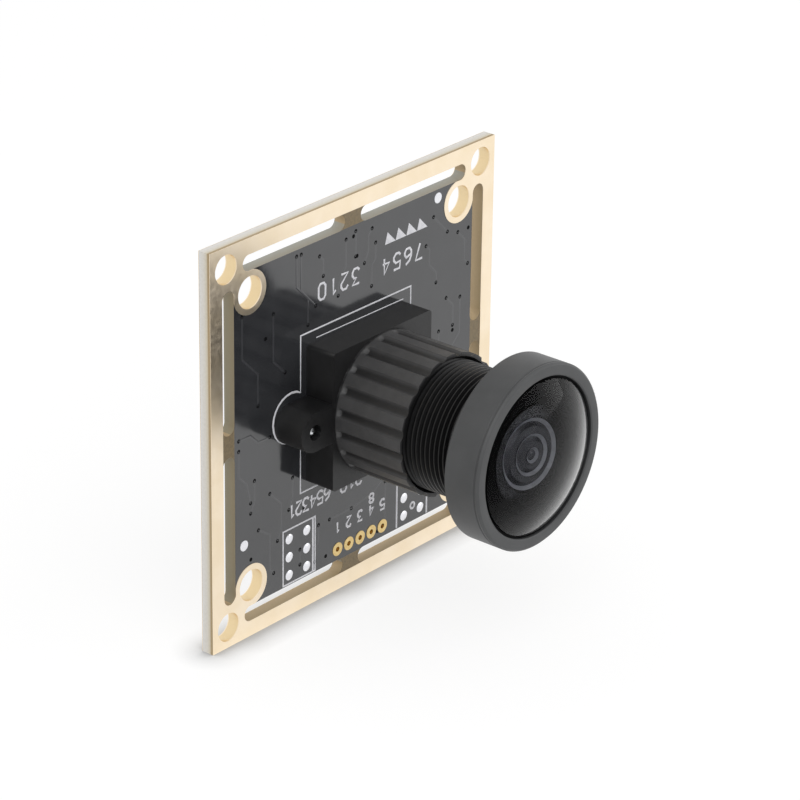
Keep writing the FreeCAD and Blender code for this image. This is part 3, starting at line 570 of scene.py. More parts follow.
# Each speckled finish has its two colours, the size of its patches, its range of roughness, and the size and
# the height of its grain, in millimetres
METAL = {"Metallic": 1.0}
FINISHES = {
    "board": board_finish(),
    "gold": gold_finish(),
    # Thicker gold on the test pads, yellower where the probe wears it
    "probe_gold": speckled("test_pad_gold", "#E8CE93", "#D8BC80", 0.35, (0.28, 0.4), 0.1, 0.002, METAL),
    # Printed white ink: chalky, slightly broken in tone
    "ink": speckled("legend_ink", "#F2F2F6", "#DEDEE4", 0.5, (0.55, 0.7), 0.08, 0.004),
    # Mask over copper: the mask's own black, a touch paler where metal lies under it
    "covered": speckled("mask_over_copper", "#3A3B3E", "#404144", 1.2, (0.1, 0.15), 0.3, 0.001, {"IOR": 1.8}),
    # Plugged via: a dull dark dimple that gives back almost no light
    "plug": speckled("via_plug", "#0A0A0B", "#101011", 0.2, (0.6, 0.7), 0.1, 0.003,
                     {"Specular IOR Level": 0.05}),
    # Bright tin with a soft frosted top
    "tin": speckled("tinned_solder", "#F2F2F6", "#E6E7EC", 0.4, (0.2, 0.32), 0.1, 0.004, METAL),
    "holder": holder_finish(),
    # Black anodised metal: even satin charcoal
    "anodised": speckled("black_anodised", "#404142", "#474849", 3.0, (0.42, 0.5), 0.07, 0.001),
    # Thread flanks: black and duller, much darker than the head all over, which paints the shade that lies in
    # the thread's roots
    "thread": speckled("threaded_black", "#0B0B0C", "#121213", 0.6, (0.36, 0.46), 0.1, 0.002,
                       {"Specular IOR Level": 0.3}),
    # Flat black inside the lens, which swallows stray light
    "baffle": speckled("baffle_black", "#070708", "#0C0C0D", 0.8, (0.6, 0.75), 0.12, 0.004,
                       {"Specular IOR Level": 0.1}),
    # Spacers between the elements: black on bare metal with a bright turned edge, drawn in an even mid grey
    # that paints the highlight of that edge
    "spacer": speckled("turned_spacer", "#4A4B4D", "#5C5D5F", 0.4, (0.35, 0.5), 0.08, 0.002),
    # Zinc-plated steel: bright and cool with a faint cloud in its gloss
    "steel": speckled("zinc_steel", "#DADCDF", "#C6C9CE", 0.8, (0.14, 0.22), 0.2, 0.0005, METAL),
    # Moulded epoxy of the chips: dark grey and dull with a fine grain
    "epoxy": speckled("chip_epoxy", "#1B1B1D", "#232325", 0.9, (0.5, 0.62), 0.05, 0.004),
    # Laser marking on the chips: greyed epoxy
    "etched": speckled("laser_marking", "#77797C", "#696B6E", 0.3, (0.6, 0.7), 0.06, 0.002),
    # Multilayer ceramic: warm tan with fine pores
    "ceramic": speckled("ceramic_tan", "#8C6B49", "#9A7956", 0.4, (0.4, 0.55), 0.08, 0.003),
    # Glazed black top of the resistors
    "glaze": speckled("resistor_glaze", "#151517", "#1C1C1F", 0.3, (0.25, 0.35), 0.08, 0.002),
    # Moulded shell of powdered ferrite: dark grey and gritty
    "ferrite": speckled("moulded_ferrite", "#3A3B3D", "#434446", 0.5, (0.55, 0.68), 0.07, 0.006),
    # Drawn nickel lid of the crystal: warm grey, polished by the die
    "nickel": speckled("nickel_lid", "#C8C4BA", "#B8B4AA", 0.9, (0.18, 0.3), 0.2, 0.002, METAL),
    # Unfilled nylon of the cable socket: ivory with a soft shine
    "socket": speckled("natural_nylon", "#E6E0D0", "#DDD6C4", 1.0, (0.38, 0.5), 0.1, 0.003),
    # Ceramic package of the imager: dark brown and dull
    "package": speckled("sensor_ceramic", "#2E2A27", "#37322E", 0.6, (0.45, 0.6), 0.08, 0.003),
    # Polished silicon of the imager: blue-grey, nearly a mirror
    "silicon": speckled("polished_silicon", "#3A4450", "#4A4452", 0.7, (0.08, 0.16), 0.4, 0.001,
                        {"Metallic": 0.6}),
    # Front element: its coating takes the reflection away, except past 64 degrees from its normal, where it
    # mirrors the white surround as a bright crescent
    "front_glass": glass_finish("coated_front_glass", "#C4C6CA", "#BCBEC2", "#0A0A0B", 1.5,
                                bare_beyond=SHEEN_START),
    # Hollow rear face of the front element: coated so well that it neither mirrors nor shows
    "rear_face": glass_finish("coated_rear_face", "#F4F4F6", "#F0F0F4", "#000000", 1.0),
    # Elements behind: clear, a little grey, with a weaker mirror than bare glass
    "inner_glass": glass_finish("coated_inner_glass", "#B8BCC4", "#B0B4BC", "#404048", 1.5),
    # Infrared filter: clear glass that looks pale blue
    "filter": glass_finish("infrared_filter", "#9FD3E6", "#98CCE2", "#A0A0A8", 1.5),
    # Black lacquer on the edges of the elements
    "inner_black": speckled("edge_blackened_glass", "#101012", "#17171A", 0.6, (0.2, 0.32), 0.1, 0.001),
    # The lit depth of the lens, seen through its front element as a dark grey
    "lit_glass": speckled("element_seen_deep", "#2E2E31", "#3A3A3E", 0.7, (0.15, 0.25), 0.1, 0.001),
    # Turned edges of the inner rings: a light grey that paints the highlight they catch
    "turned_edge": speckled("painted_ring_highlight", "#86878A", "#98999C", 0.5, (0.3, 0.4), 0.08, 0.001),
}


# Lens holder: hollow base, two ears and a fluted tube
base = block("lens_holder_shell", (-BASE_HALF, BASE_HALF), (-BASE_HALF, BASE_HALF), (0, BASE_DEPTH))
pick(base, "EDGE", lambda a, b: abs(a.z - b.z) > 1)
bpy.ops.mesh.bevel(offset=BASE_CORNER, segments=4)
leave_edit()
combine(base, block("web", (-EAR_REACH, EAR_REACH), (-EAR_RAD, EAR_RAD), (0, BASE_DEPTH)), "UNION")
for side in (-1, 1):
    combine(base, rod("boss", side * EAR_REACH, 0, EAR_RAD, (0, BASE_DEPTH)), "UNION")

# The tube's circle has this many points for each rib, and those within a groove are drawn in
PER_RIB = 12
POINT_ANGLE = 360 / (RIB_COUNT * PER_RIB)
GROOVE_REACH = 3
NEAR = 0.2
deselect()
bpy.ops.mesh.primitive_cylinder_add(
    vertices=RIB_COUNT * PER_RIB, radius=TUBE_RAD, depth=GROOVE_START - TUBE_REAR,
    location=(0, 0, (GROOVE_START + TUBE_REAR) / 2), rotation=(0, 0, RIB_TURN))
tube = named("tube")
settle(tube)
pick(tube, "FACE", lambda middle, normal: normal.z > 0.9)
for rise in (GROOVE_RUN_OUT, TUBE_FRONT - GROOVE_START - GROOVE_RUN_OUT):
    pull(0, 0, rise)
leave_edit()
groove_centre = TUBE_RAD + GROOVE_RAD - GROOVE_DEEP
for phase in range(-GROOVE_REACH, GROOVE_REACH + 1):
    turn = math.radians(phase * POINT_ANGLE)
    half_chord = GROOVE_RAD ** 2 - (groove_centre * math.sin(turn)) ** 2
    if half_chord <= 0:
        continue
    depth_share = min(TUBE_RAD, groove_centre * math.cos(turn) - math.sqrt(half_chord)) / TUBE_RAD

    def in_groove(co):
        step = math.degrees(math.atan2(co.y, co.x) - RIB_TURN) / POINT_ANGLE
        off_phase = (step - phase + PER_RIB / 2) % PER_RIB - PER_RIB / 2
        return co.z > GROOVE_START + NEAR and abs(off_phase) < NEAR

    pick(tube, "VERT", in_groove)
    bpy.ops.transform.resize(value=(depth_share, depth_share, 1), center_override=(0, 0, 0))
    leave_edit()
combine(base, tube, "UNION")
bore = turned("bore", [
    (BORE_RAD, BASE_DEPTH), (BORE_RAD, TUBE_FRONT - MOUTH_DEPTH), (MOUTH_RAD, TUBE_FRONT),
    (MOUTH_RAD, TUBE_FRONT + 1), (0.5, TUBE_FRONT + 1), (0.5, BASE_DEPTH)], steps=240)
combine(base, bore, "DIFFERENCE")
combine(base, rod("bore_core", 0, 0, 1.0, (BASE_DEPTH, TUBE_FRONT + 2)), "DIFFERENCE")
combine(base, rod("window", 0, 0, WINDOW_RAD, (ROOF_UNDER - 1, BASE_DEPTH + 1), 96), "DIFFERENCE")
hollow = BASE_HALF - BASE_WALL
combine(base, block("chamber", (-hollow, hollow), (-hollow, hollow), (-1, ROOF_UNDER)), "DIFFERENCE")
for side in (-1, 1):
    screw_hole = rod("screw_hole", side * EAR_REACH, 0, EAR_HOLE_RAD, (-1, BASE_DEPTH + 1), 48)
    combine(base, screw_hole, "DIFFERENCE")
clean(base)
soften(base, 0.09, angle=38.0)
stand(base, "root", "holder")
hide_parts("lens_holder")

# Threaded stem: one tooth profile wound up the axis, cut flat at both ends and bored out
TOOTH = [(STEM_ROOT_RAD, 0.0), (STEM_ROOT_RAD, 0.07), (STEM_RAD, 0.22), (STEM_RAD, 0.33),
         (STEM_ROOT_RAD, THREAD_PITCH)]
SPARE_TURNS = 2
stem = drawn_line("lens_stem", TOOTH)
turns = math.ceil((HEAD_REAR - LENS_REAR) / THREAD_PITCH) + 2 * SPARE_TURNS
stem.location = (0, 0, LENS_REAR - SPARE_TURNS * THREAD_PITCH)
settle(stem)
modify(stem, "SCREW", axis="Z", angle=math.radians(360), screw_offset=THREAD_PITCH, iterations=turns,
       steps=72, render_steps=72, use_merge_vertices=True, merge_threshold=0.0005)
for height, clear_inner in ((LENS_REAR, True), (HEAD_REAR + 0.1, False)):
    edit_all(stem)
    bpy.ops.mesh.bisect(plane_co=(0, 0, height), plane_no=(0, 0, 1), use_fill=True,
                        clear_inner=clear_inner, clear_outer=not clear_inner)
    leave_edit()
clean(stem)
combine(stem, rod("stem_bore", 0, 0, STACK_RAD, (LENS_REAR - 1, HEAD_REAR + 1), 96), "DIFFERENCE")
stand(stem, "lens", "thread", smooth=30.0)

# Lens head: a turned cup with a conical funnel down to the second element
FUNNEL_STEPS = [(4.66, 18.8), (4.52, 18.8), (4.3, 18.6), (4.16, 18.6)]
head = turned("lens_head", [
    (STACK_RAD, BARREL_REAR), (NECK_RAD, BARREL_REAR), (NECK_RAD, HEAD_REAR),
    (HEAD_RAD - HEAD_BEVEL, HEAD_REAR), (HEAD_RAD, HEAD_REAR + HEAD_BEVEL), (HEAD_RAD, HEAD_FACE - 0.12),
    (HEAD_RAD - SEAM_DEEP, HEAD_FACE - 0.06), (HEAD_RAD - SEAM_DEEP, HEAD_FACE), (SEAT_RAD, HEAD_FACE),
    (SEAT_RAD, SEAT_DEPTH), (CAVITY_RAD, SEAT_DEPTH),
    *FUNNEL_STEPS, (SHOULDER_RAD, SHOULDER_FRONT), (SHOULDER_RAD, SHOULDER_REAR), (STACK_RAD, SHOULDER_REAR)],
    steps=160)
soften(head, 0.05, angle=25.0)
stand(head, "lens", "anodised")
part_finish(head, "baffle",
            lambda radius, depth: radius < SEAT_RAD + 0.3 and BARREL_REAR - 0.1 < depth < HEAD_FACE)
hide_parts("lens_barrel")

# Front ring: a thin collar rolled over the glass
ring = turned("retaining_ring", [
    (OPENING_RAD, HEAD_FACE), (HEAD_RAD - SEAM_DEEP, HEAD_FACE), (HEAD_RAD - SEAM_DEEP, HEAD_FACE + 0.03),
    (HEAD_RAD, HEAD_FACE + 0.08), (HEAD_RAD, HEAD_FRONT - 0.2), (HEAD_RAD - 0.2, HEAD_FRONT),
    (OPENING_RAD + 0.12, HEAD_FRONT), (OPENING_RAD, HEAD_FRONT - 0.1)], steps=160)
soften(ring, 0.04, angle=25.0)
stand(ring, "lens", "anodised")
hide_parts("front_ring")

# Front element: a deep meniscus, domed in front and hollow behind, its edge blackened inside the ring
DOME_RAD = OPENING_RAD - EDGE_BLACK
DOME_HIGH = DOME_TOP - GLASS_EDGE
DOME_CURVE = (DOME_RAD ** 2 + DOME_HIGH ** 2) / (2 * DOME_HIGH)
RIM_RAD = SEAT_RAD - GLASS_GAP
RIM_FRONT = HEAD_FACE - 0.02


def dome_depth(radius):
    """Depth of the front dome at a radius."""
    return DOME_TOP - DOME_CURVE + math.sqrt(DOME_CURVE ** 2 - radius ** 2)


dome = cap_points(DOME_CURVE, DOME_RAD, GLASS_EDGE, 32)
hollow_face = cap_points(HOLLOW_CURVE, HOLLOW_EDGE, SEAT_DEPTH, 16)[::-1]
rim = [(RIM_RAD, SEAT_DEPTH), (RIM_RAD, RIM_FRONT), (DOME_RAD, RIM_FRONT)]
front_element = turned("front_element", hollow_face + rim + dome, steps=160, poles=True)
stand(front_element, "lens", "front_glass", smooth=40.0)
part_finish(front_element, "rear_face",
            lambda radius, depth: radius < HOLLOW_EDGE and depth < dome_depth(radius) - 0.5)
part_finish(front_element, "baffle",
            lambda radius, depth: depth < HEAD_FACE - 0.01
            and (radius > DOME_RAD or depth < SEAT_DEPTH + 0.01))
part_finish(front_element, "baffle", lambda radius, depth: radius > DOME_RAD - 0.01 and depth < GLASS_EDGE)
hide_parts("front_glass")

# Second element: a smaller dome on the shoulder, with turned flanks that slope inwards and show through the
# first element most on the side away from the eye; their light grey is a painted highlight
SECOND_EDGE = SHOULDER_RAD - GLASS_GAP
SECOND_CENTRE = SHOULDER_REAR - math.sqrt(SECOND_CURVE ** 2 - SECOND_EDGE ** 2)
RING_EDGES = [(2.76, 2.44), (1.64, 1.38), (0.62, 0.42)]
RING_APART = 0.3
RING_STEP = 0.12
FLANK = 0.26


def second_depth(radius):
    """Depth of the second dome at a radius."""
    return SECOND_CENTRE + math.sqrt(SECOND_CURVE ** 2 - radius ** 2)


second_profile = [
    (POLE, SHOULDER_REAR - SECOND_RIM), (STACK_RAD - GLASS_GAP, SHOULDER_REAR - SECOND_RIM),
    (STACK_RAD - GLASS_GAP, SHOULDER_REAR), (SECOND_EDGE, SHOULDER_REAR)]
for outside, inside in RING_EDGES:
    crest = second_depth(outside)
    second_profile += [
        (outside + RING_APART, second_depth(outside + RING_APART) - RING_STEP), (outside, crest - RING_STEP),
        (outside, crest), (inside, crest - FLANK),
        (inside - RING_APART, second_depth(inside - RING_APART) - RING_STEP)]
second_profile.append((POLE, second_depth(0.0) - RING_STEP))
second_element = turned("second_element", second_profile, steps=128, poles=True)
soften(second_element, 0.03, angle=50.0)
stand(second_element, "lens", "inner_black", smooth=30.0)
part_finish(second_element, "lit_glass",
            lambda radius, depth: depth > SHOULDER_REAR and radius < RING_EDGES[0][0])
part_finish(second_element, "turned_edge",
            lambda radius, depth: depth > SHOULDER_REAR
            and any(inside < radius < outside - 0.01 for outside, inside in RING_EDGES))
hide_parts("second_glass")

# Printed legend on the front: the holder's outline with an arc round its left ear, the boxes of the header
# pads, and plain counting numerals that stand on their heads
INK_HIGH = 0.02
LEGEND_HALF = 7.45
LEGEND_TOP = 7.78
EAR_ARC_RAD = 2.35
EAR_ARC_X = 8.7
EAR_ARC_Y = 0.4
arc_start = math.degrees(math.acos((EAR_ARC_X - LEGEND_HALF) / EAR_ARC_RAD))
ear_arc = arc(-EAR_ARC_X, EAR_ARC_Y, EAR_ARC_RAD, arc_start, 360 - arc_start)
outline = [(-LEGEND_HALF, -LEGEND_HALF), *ear_arc[::-1], (-LEGEND_HALF, LEGEND_TOP),
           (LEGEND_HALF, LEGEND_TOP), (LEGEND_HALF, -LEGEND_HALF), (-LEGEND_HALF, -LEGEND_HALF)]
LEGEND_RUNS = [
    outline,
    [(-9.75, -10.45), (-5.45, -10.45), (-5.45, -15.85), (-9.75, -15.85), (-9.75, -10.45)],
    [(5.9, -10.2), (5.9, -15.9)],
    [(10.2, -10.2), (10.2, -15.9)],
    [(-5.75, -10.45), (-5.75, -15.85)],
    arc(8.15, -14.4, 0.3),
]
# Each row's text, the middle of its first numeral, its height, and the distance from one to the next
FRONT_ROWS = (
    ("0123", -4.65, 11.1, 1.5, 1.5), ("4567", 3.95, 10.8, 1.5, 1.52), ("123456", -8.6, -8.8, 1.25, 0.95),
    ("012", -1.6, -8.8, 1.25, 1.05), ("12345", -2.4, -12.7, 1.0, 1.56), ("8", 2.3, -11.5, 0.9, 1.0))
front_legend = raised_lines("front_legend", LEGEND_RUNS, 0.22, INK_HIGH)
thin_legend = raised_lines("thin_legend", [[(-5.4, 6.95), (6.4, 6.85)]], 0.1, 0.015)
digit_runs = [run for row in FRONT_ROWS for run in numerals(*row, turn=180)]
front_numerals = raised_lines("front_numerals", digit_runs, 0.24, INK_HIGH)
# A plain filled wedge, four times
MARK_WIDE = 1.44
MARK_LEAN = 0.3
MARK_HIGH = 1.75
MARK_STEP = 1.47
deselect()
bpy.ops.mesh.primitive_plane_add(size=1)
front_marks = named("front_marks")
front_marks.scale = (MARK_WIDE, MARK_HIGH, 1)
settle(front_marks)
edit_all(front_marks)
for foot, lean in ((-MARK_WIDE / 2, MARK_LEAN), (MARK_WIDE / 2, MARK_WIDE - MARK_LEAN)):
    slope = (math.copysign(MARK_HIGH, foot), lean, 0)
    bpy.ops.mesh.bisect(plane_co=(foot, -MARK_HIGH / 2, 0), plane_no=slope, clear_outer=True)
    bpy.ops.mesh.select_all(action="SELECT")
pull(0, 0, INK_HIGH)
leave_edit()
clean(front_marks)
front_marks = copies(front_marks, [(4.5 + index * MARK_STEP, 13.75, 0) for index in range(4)])
for print_piece in (front_legend, thin_legend, front_numerals, front_marks):
    stand(print_piece, "root", "ink")

# Covered copper traces and plugged vias on the front
TRACE_WIDE = 0.22
TRACE_HIGH = 0.006
FRONT_ROUTES = [
    [(-8.0, 15.4), (-8.0, 12.5), (-6.5, 11.0), (-6.5, 8.5)],
    [(-7.4, 15.4), (-7.4, 12.0), (-5.5, 10.0)],
    [(-5.0, 14.5), (-4.5, 14.0), (-4.5, 12.5)],
    [(-0.2, 15.4), (-0.2, 13.0)],
    [(2.0, 15.0), (1.5, 14.5), (1.5, 13.0), (1.0, 12.0)],
    [(-1.5, 15.0), (-1.5, 12.5), (-2.5, 11.0), (-2.5, 10.0)],
    [(2.5, 13.5), (2.5, 12.0), (2.0, 11.5), (2.0, 9.5)],
    [(10.5, 13.5), (11.5, 12.5), (12.5, 11.5)],
    [(14.0, 11.0), (15.0, 10.0), (15.0, 8.0), (15.5, 7.5)],
    [(9.5, 11.0), (10.0, 10.5), (10.0, 9.0), (11.0, 8.0), (11.0, 7.0)],
    [(12.5, 5.0), (13.5, 4.0), (13.5, 2.0)],
    [(14.5, 4.5), (14.5, 1.0), (13.0, -0.5), (13.0, -4.0)],
    [(11.5, 2.0), (11.5, -2.5), (12.5, -3.5), (12.5, -7.0)],
    [(-15.5, 0.5), (-14.0, 0.5), (-13.0, -0.5), (-11.5, -0.5)],
    [(-15.5, -0.5), (-15.5, -3.0), (-14.5, -4.0), (-14.0, -6.0)],
    [(-13.5, -4.0), (-13.5, -6.0), (-14.0, -7.0)],
    [(-8.5, -5.5), (-8.5, -7.5), (-9.0, -8.5)],
    [(-11.5, -6.0), (-10.0, -7.5), (-10.0, -10.0), (-10.5, -11.0)],
    [(-13.0, -9.0), (-11.5, -10.0), (-11.5, -13.5), (-11.0, -14.0)],
    [(-5.0, -11.5), (-5.0, -13.0), (-5.5, -14.0), (-5.5, -15.0)],
    [(-3.5, -11.5), (-0.5, -11.5), (2.5, -11.0), (4.8, -9.5), (4.8, -8.5)],
    [(-7.5, -13.0), (-7.5, -14.5)],
    [(-15.0, 12.0), (-15.0, 8.0), (-13.0, 6.0), (-13.0, 3.0)],
    [(-11.0, 11.0), (-11.0, 6.5), (-9.5, 5.0)],
    [(3.2, -15.2), (4.2, -14.2), (4.2, -10.5)],
]
front_traces = raised_lines("front_traces", FRONT_ROUTES, TRACE_WIDE, TRACE_HIGH)
stand(front_traces, "root", "covered")

LONE_VIAS = [(0.0, 13.0), (-0.5, 15.0), (15.5, 11.0), (13.5, 1.5), (-7.0, -9.0), (-4.0, -15.0), (-0.5, -11.5),
             (12.0, -12.0), (14.0, -10.0), (12.5, -14.5), (14.8, -6.5), (-12.0, 9.0), (-14.0, -11.5)]
DIMPLE = [(POLE, 0.003), (0.1, 0.004), (0.18, 0.012), (0.21, -0.01), (POLE, -0.01)]
via_spots = [(x, y, 0) for route in FRONT_ROUTES for x, y in (route[0], route[-1])]
via_spots += [(x, y, 0) for x, y in LONE_VIAS]
for name, face, outward in (("front_vias", 0.0, 1), ("back_vias", -BOARD_THICK, -1)):
    vias = turned(name, [(radius, face + outward * rise) for radius, rise in DIMPLE], steps=16, poles=True)
    vias = copies(vias, via_spots)
    stand(vias, "root", "plug")

# Tinned header pads: low domes of solder
PAD_RAD = 0.48
PAD_COLUMNS = (-8.95, -6.6, 6.9, 9.25)
PAD_ROWS = (-11.4, -13.2, -15.0)
pad_profile = [(POLE, 0.0), (PAD_RAD, 0.0)] + cap_points(1.05, PAD_RAD, 0.02, 6)
header_domes = turned("header_domes", pad_profile, steps=32, poles=True)
header_domes = copies(header_domes, [(x, y, 0) for x in PAD_COLUMNS for y in PAD_ROWS])
stand(header_domes, "root", "tin")
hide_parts("header_pads")

# Back of the board: depths are negative there, and grow away from the lens
BACK = -BOARD_THICK


def moulded_body(name, x_span, y_span, depth_span, draft=0.95, round_edge=0.06):
    """A moulded chip body that narrows towards both faces from a parting line halfway up."""
    body = block(name, x_span, y_span, depth_span)
    middle_x, middle_y, parting = [(low + high) / 2 for low, high in (x_span, y_span, depth_span)]
    edit_all(body)
    bpy.ops.mesh.bisect(plane_co=(0, 0, parting), plane_no=(0, 0, 1))
    leave_edit()
    for side in (-1, 1):
        pick(body, "FACE", lambda centre, normal: normal.z * side > 0.9)
        bpy.ops.transform.resize(value=(draft, draft, 1), center_override=(middle_x, middle_y, 0))
        leave_edit()
    soften(body, round_edge, angle=60.0)
    return body


def bent_strip(name, points, width, thick):
    """A strip of sheet metal along points in X and depth, as wide as said along Y."""
    strip = drawn_line(name, points)
    edit_all(strip)
    pull(0, width, 0)
    leave_edit()
    strip.location = (0, -width / 2, 0)
    settle(strip)
    modify(strip, "SOLIDIFY", thickness=thick, offset=0.0, use_even_offset=True)
    clean(strip)
    soften(strip, 0.04, angle=30.0)
    return strip


# Holder screws: pan heads with a cross recess behind, and bright rounded tips in the ears' holes
SHANK_RAD = 0.68
SHANK_RIDGES = 13
SCREW_TIP = 2.85
SCREW_HEAD_RAD = 1.5
SCREW_HEAD_HIGH = 0.7
SCREW_PITCH = 0.28
RECESS_LONG = 1.6
RECESS_WIDE = 0.35
screw_profile = [(POLE, SCREW_TIP), (0.2, SCREW_TIP - 0.03), (0.36, SCREW_TIP - 0.12),
                 (0.46, SCREW_TIP - 0.28)]
for ridge in range(SHANK_RIDGES):
    depth = SCREW_TIP - 0.55 - ridge * SCREW_PITCH
    screw_profile += [(SHANK_RAD - 0.12, depth + SCREW_PITCH / 2), (SHANK_RAD, depth)]
screw_profile += [
    (SHANK_RAD, BACK), (SCREW_HEAD_RAD, BACK), (SCREW_HEAD_RAD, BACK - 0.28), (1.42, BACK - 0.48),
    (1.18, BACK - 0.64), (0.8, BACK - SCREW_HEAD_HIGH), (POLE, BACK - SCREW_HEAD_HIGH)]
screws = turned("screw_pair", screw_profile, steps=40, poles=True)
for wide, high in ((RECESS_LONG, RECESS_WIDE), (RECESS_WIDE, RECESS_LONG)):
    recess = block("recess", (-wide / 2, wide / 2), (-high / 2, high / 2), (BACK - 1, BACK - 0.3))
    combine(screws, recess, "DIFFERENCE")
screws = copies(screws, [(-EAR_REACH, 0, 20), (EAR_REACH, 0, 65)])
stand(screws, "root", "steel")
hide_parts("holder_screws")

# Controller chip with a corner dimple, and plain numerals marked on it and on the memory chip
MARKING_HIGH = 0.006
CHIP_FACE = BACK - 0.91
controller = block("controller_body", (-4.5, 4.5), (-1.5, 7.5), (CHIP_FACE, BACK - 0.06))
soften(controller, 0.07)
combine(controller, rod("dimple", 3.7, 6.7, 0.32, (CHIP_FACE - 1, CHIP_FACE + 0.05), 32), "DIFFERENCE")
stand(controller, "root", "epoxy")
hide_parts("controller_chip")
chip_runs = numerals("012345", 2.4, 3.9, 1.0, 0.9, side=-1) + numerals("678012", 2.4, 2.2, 1.0, 0.9, side=-1)
chip_marks = raised_lines("controller_marks", chip_runs, 0.12, MARKING_HIGH, CHIP_FACE)
stand(chip_marks, "root", "etched")

MEMORY_X = -10.4
MEMORY_Y = 8.0
MEMORY_HALF_WIDE = 2.45
MEMORY_HALF_HIGH = 1.95
MEMORY_FACE = BACK - 1.5
memory = moulded_body("memory_body", (MEMORY_X - MEMORY_HALF_WIDE, MEMORY_X + MEMORY_HALF_WIDE),
                      (MEMORY_Y - MEMORY_HALF_HIGH, MEMORY_Y + MEMORY_HALF_HIGH), (MEMORY_FACE, BACK - 0.1))
dimple = rod("dimple", MEMORY_X + 1.7, MEMORY_Y - 1.2, 0.28, (MEMORY_FACE - 1, MEMORY_FACE + 0.05), 32)
combine(memory, dimple, "DIFFERENCE")
stand(memory, "root", "epoxy")
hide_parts("memory_chip")
memory_runs = numerals("0123", MEMORY_X + 1.3, MEMORY_Y + 0.4, 0.8, 0.75, side=-1)
memory_marks = raised_lines("memory_marks", memory_runs, 0.1, MARKING_HIGH, MEMORY_FACE)
stand(memory_marks, "root", "etched")
LEAD_FOOT = BACK - 0.1
LEAD_TOP = BACK - 0.6
LEAD_THICK = 0.2
LEG_PITCH = 1.27
memory_legs = bent_strip(
    "memory_legs", [(1.8, LEAD_TOP), (2.2, LEAD_TOP), (2.38, LEAD_FOOT), (2.95, LEAD_FOOT)], 0.42, LEAD_THICK)
leg_spots = [(MEMORY_X + (index - 1.5) * LEG_PITCH, MEMORY_Y) for index in range(4)]
memory_legs = copies(memory_legs, [(x, y, turn) for x, y in leg_spots for turn in (90, -90)])
stand(memory_legs, "root", "tin")
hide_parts("memory_leads")

# Three regulators, each with five legs
REGULATORS = ((9.6, -6.0), (-9.6, -6.0), (9.6, 11.2))
REGULATOR_PITCH = 0.95
REGULATOR_LEGS = ((-1, -90), (0, -90), (1, -90), (-1, 90), (1, 90))
regulators = moulded_body("regulators", (-1.45, 1.45), (-0.8, 0.8), (BACK - 1.1, BACK - 0.1),
                          draft=0.92, round_edge=0.05)
regulators = copies(regulators, [(x, y, 0) for x, y in REGULATORS])
stand(regulators, "root", "epoxy")
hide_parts("regulator_bodies")
regulator_legs = bent_strip(
    "regulator_legs", [(0.7, LEAD_TOP), (1.05, LEAD_TOP), (1.23, LEAD_FOOT), (1.8, LEAD_FOOT)],
    0.4, LEAD_THICK)
regulator_spots = [(x + step * REGULATOR_PITCH, y, turn)
                   for x, y in REGULATORS for step, turn in REGULATOR_LEGS]
regulator_legs = copies(regulator_legs, regulator_spots)
stand(regulator_legs, "root", "tin")
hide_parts("regulator_leads")

# Crystal can: a flanged base with a drawn lid
can = block("crystal_lid", (7.4, 10.6), (4.15, 6.65), (BACK - 0.35, BACK))
pick(can, "FACE", lambda centre, normal: normal.z < -0.9)
bpy.ops.mesh.inset(thickness=0.16)
pull(0, 0, -0.45)
leave_edit()
soften(can, 0.08, segments=3, angle=50.0)
stand(can, "root", "nickel")
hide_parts("crystal_can")

# Power inductor: a shielded square with rounded corners and a sunken round top
INDUCTOR_X = -9.6
INDUCTOR_Y = -11.2
INDUCTOR_HALF = 1.6
INDUCTOR_FACE = BACK - 1.5
inductor = block("inductor_shell", (INDUCTOR_X - INDUCTOR_HALF, INDUCTOR_X + INDUCTOR_HALF),
                 (INDUCTOR_Y - INDUCTOR_HALF, INDUCTOR_Y + INDUCTOR_HALF), (INDUCTOR_FACE, BACK))
pick(inductor, "EDGE", lambda a, b: abs(a.z - b.z) > 1)
bpy.ops.mesh.bevel(offset=0.5, segments=3)
leave_edit()
for tool_name, radius, near, far, operation in (("sunken_top", 1.2, -1, 0.12, "DIFFERENCE"),
                                                ("core_top", 0.95, 0.04, 0.3, "UNION")):
    tool = rod(tool_name, INDUCTOR_X, INDUCTOR_Y, radius, (INDUCTOR_FACE + near, INDUCTOR_FACE + far))
    combine(inductor, tool, operation)
soften(inductor, 0.05, angle=40.0)
stand(inductor, "root", "ferrite")
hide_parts("power_inductor")

# Capacitors and resistors: a body between two tinned ends, each end in a sloped fillet of solder
SMALL_LONG = 1.6
SMALL_WIDE = 0.8
SMALL_END = 0.3
SMALL_PITCH = 1.9
BODY_SUNK = 0.02
FILLET_OUT = 0.26
RESISTOR_X = 13.0
CAPACITOR_SPOTS = [(step * SMALL_PITCH, y, 0) for y in (-6.6, -4.4) for step in (-2, -1, 0, 1, 2)]
RESISTOR_SPOTS = [(x, step * SMALL_PITCH, 0) for x in (-RESISTOR_X, RESISTOR_X) for step in (-1, 0, 1)]


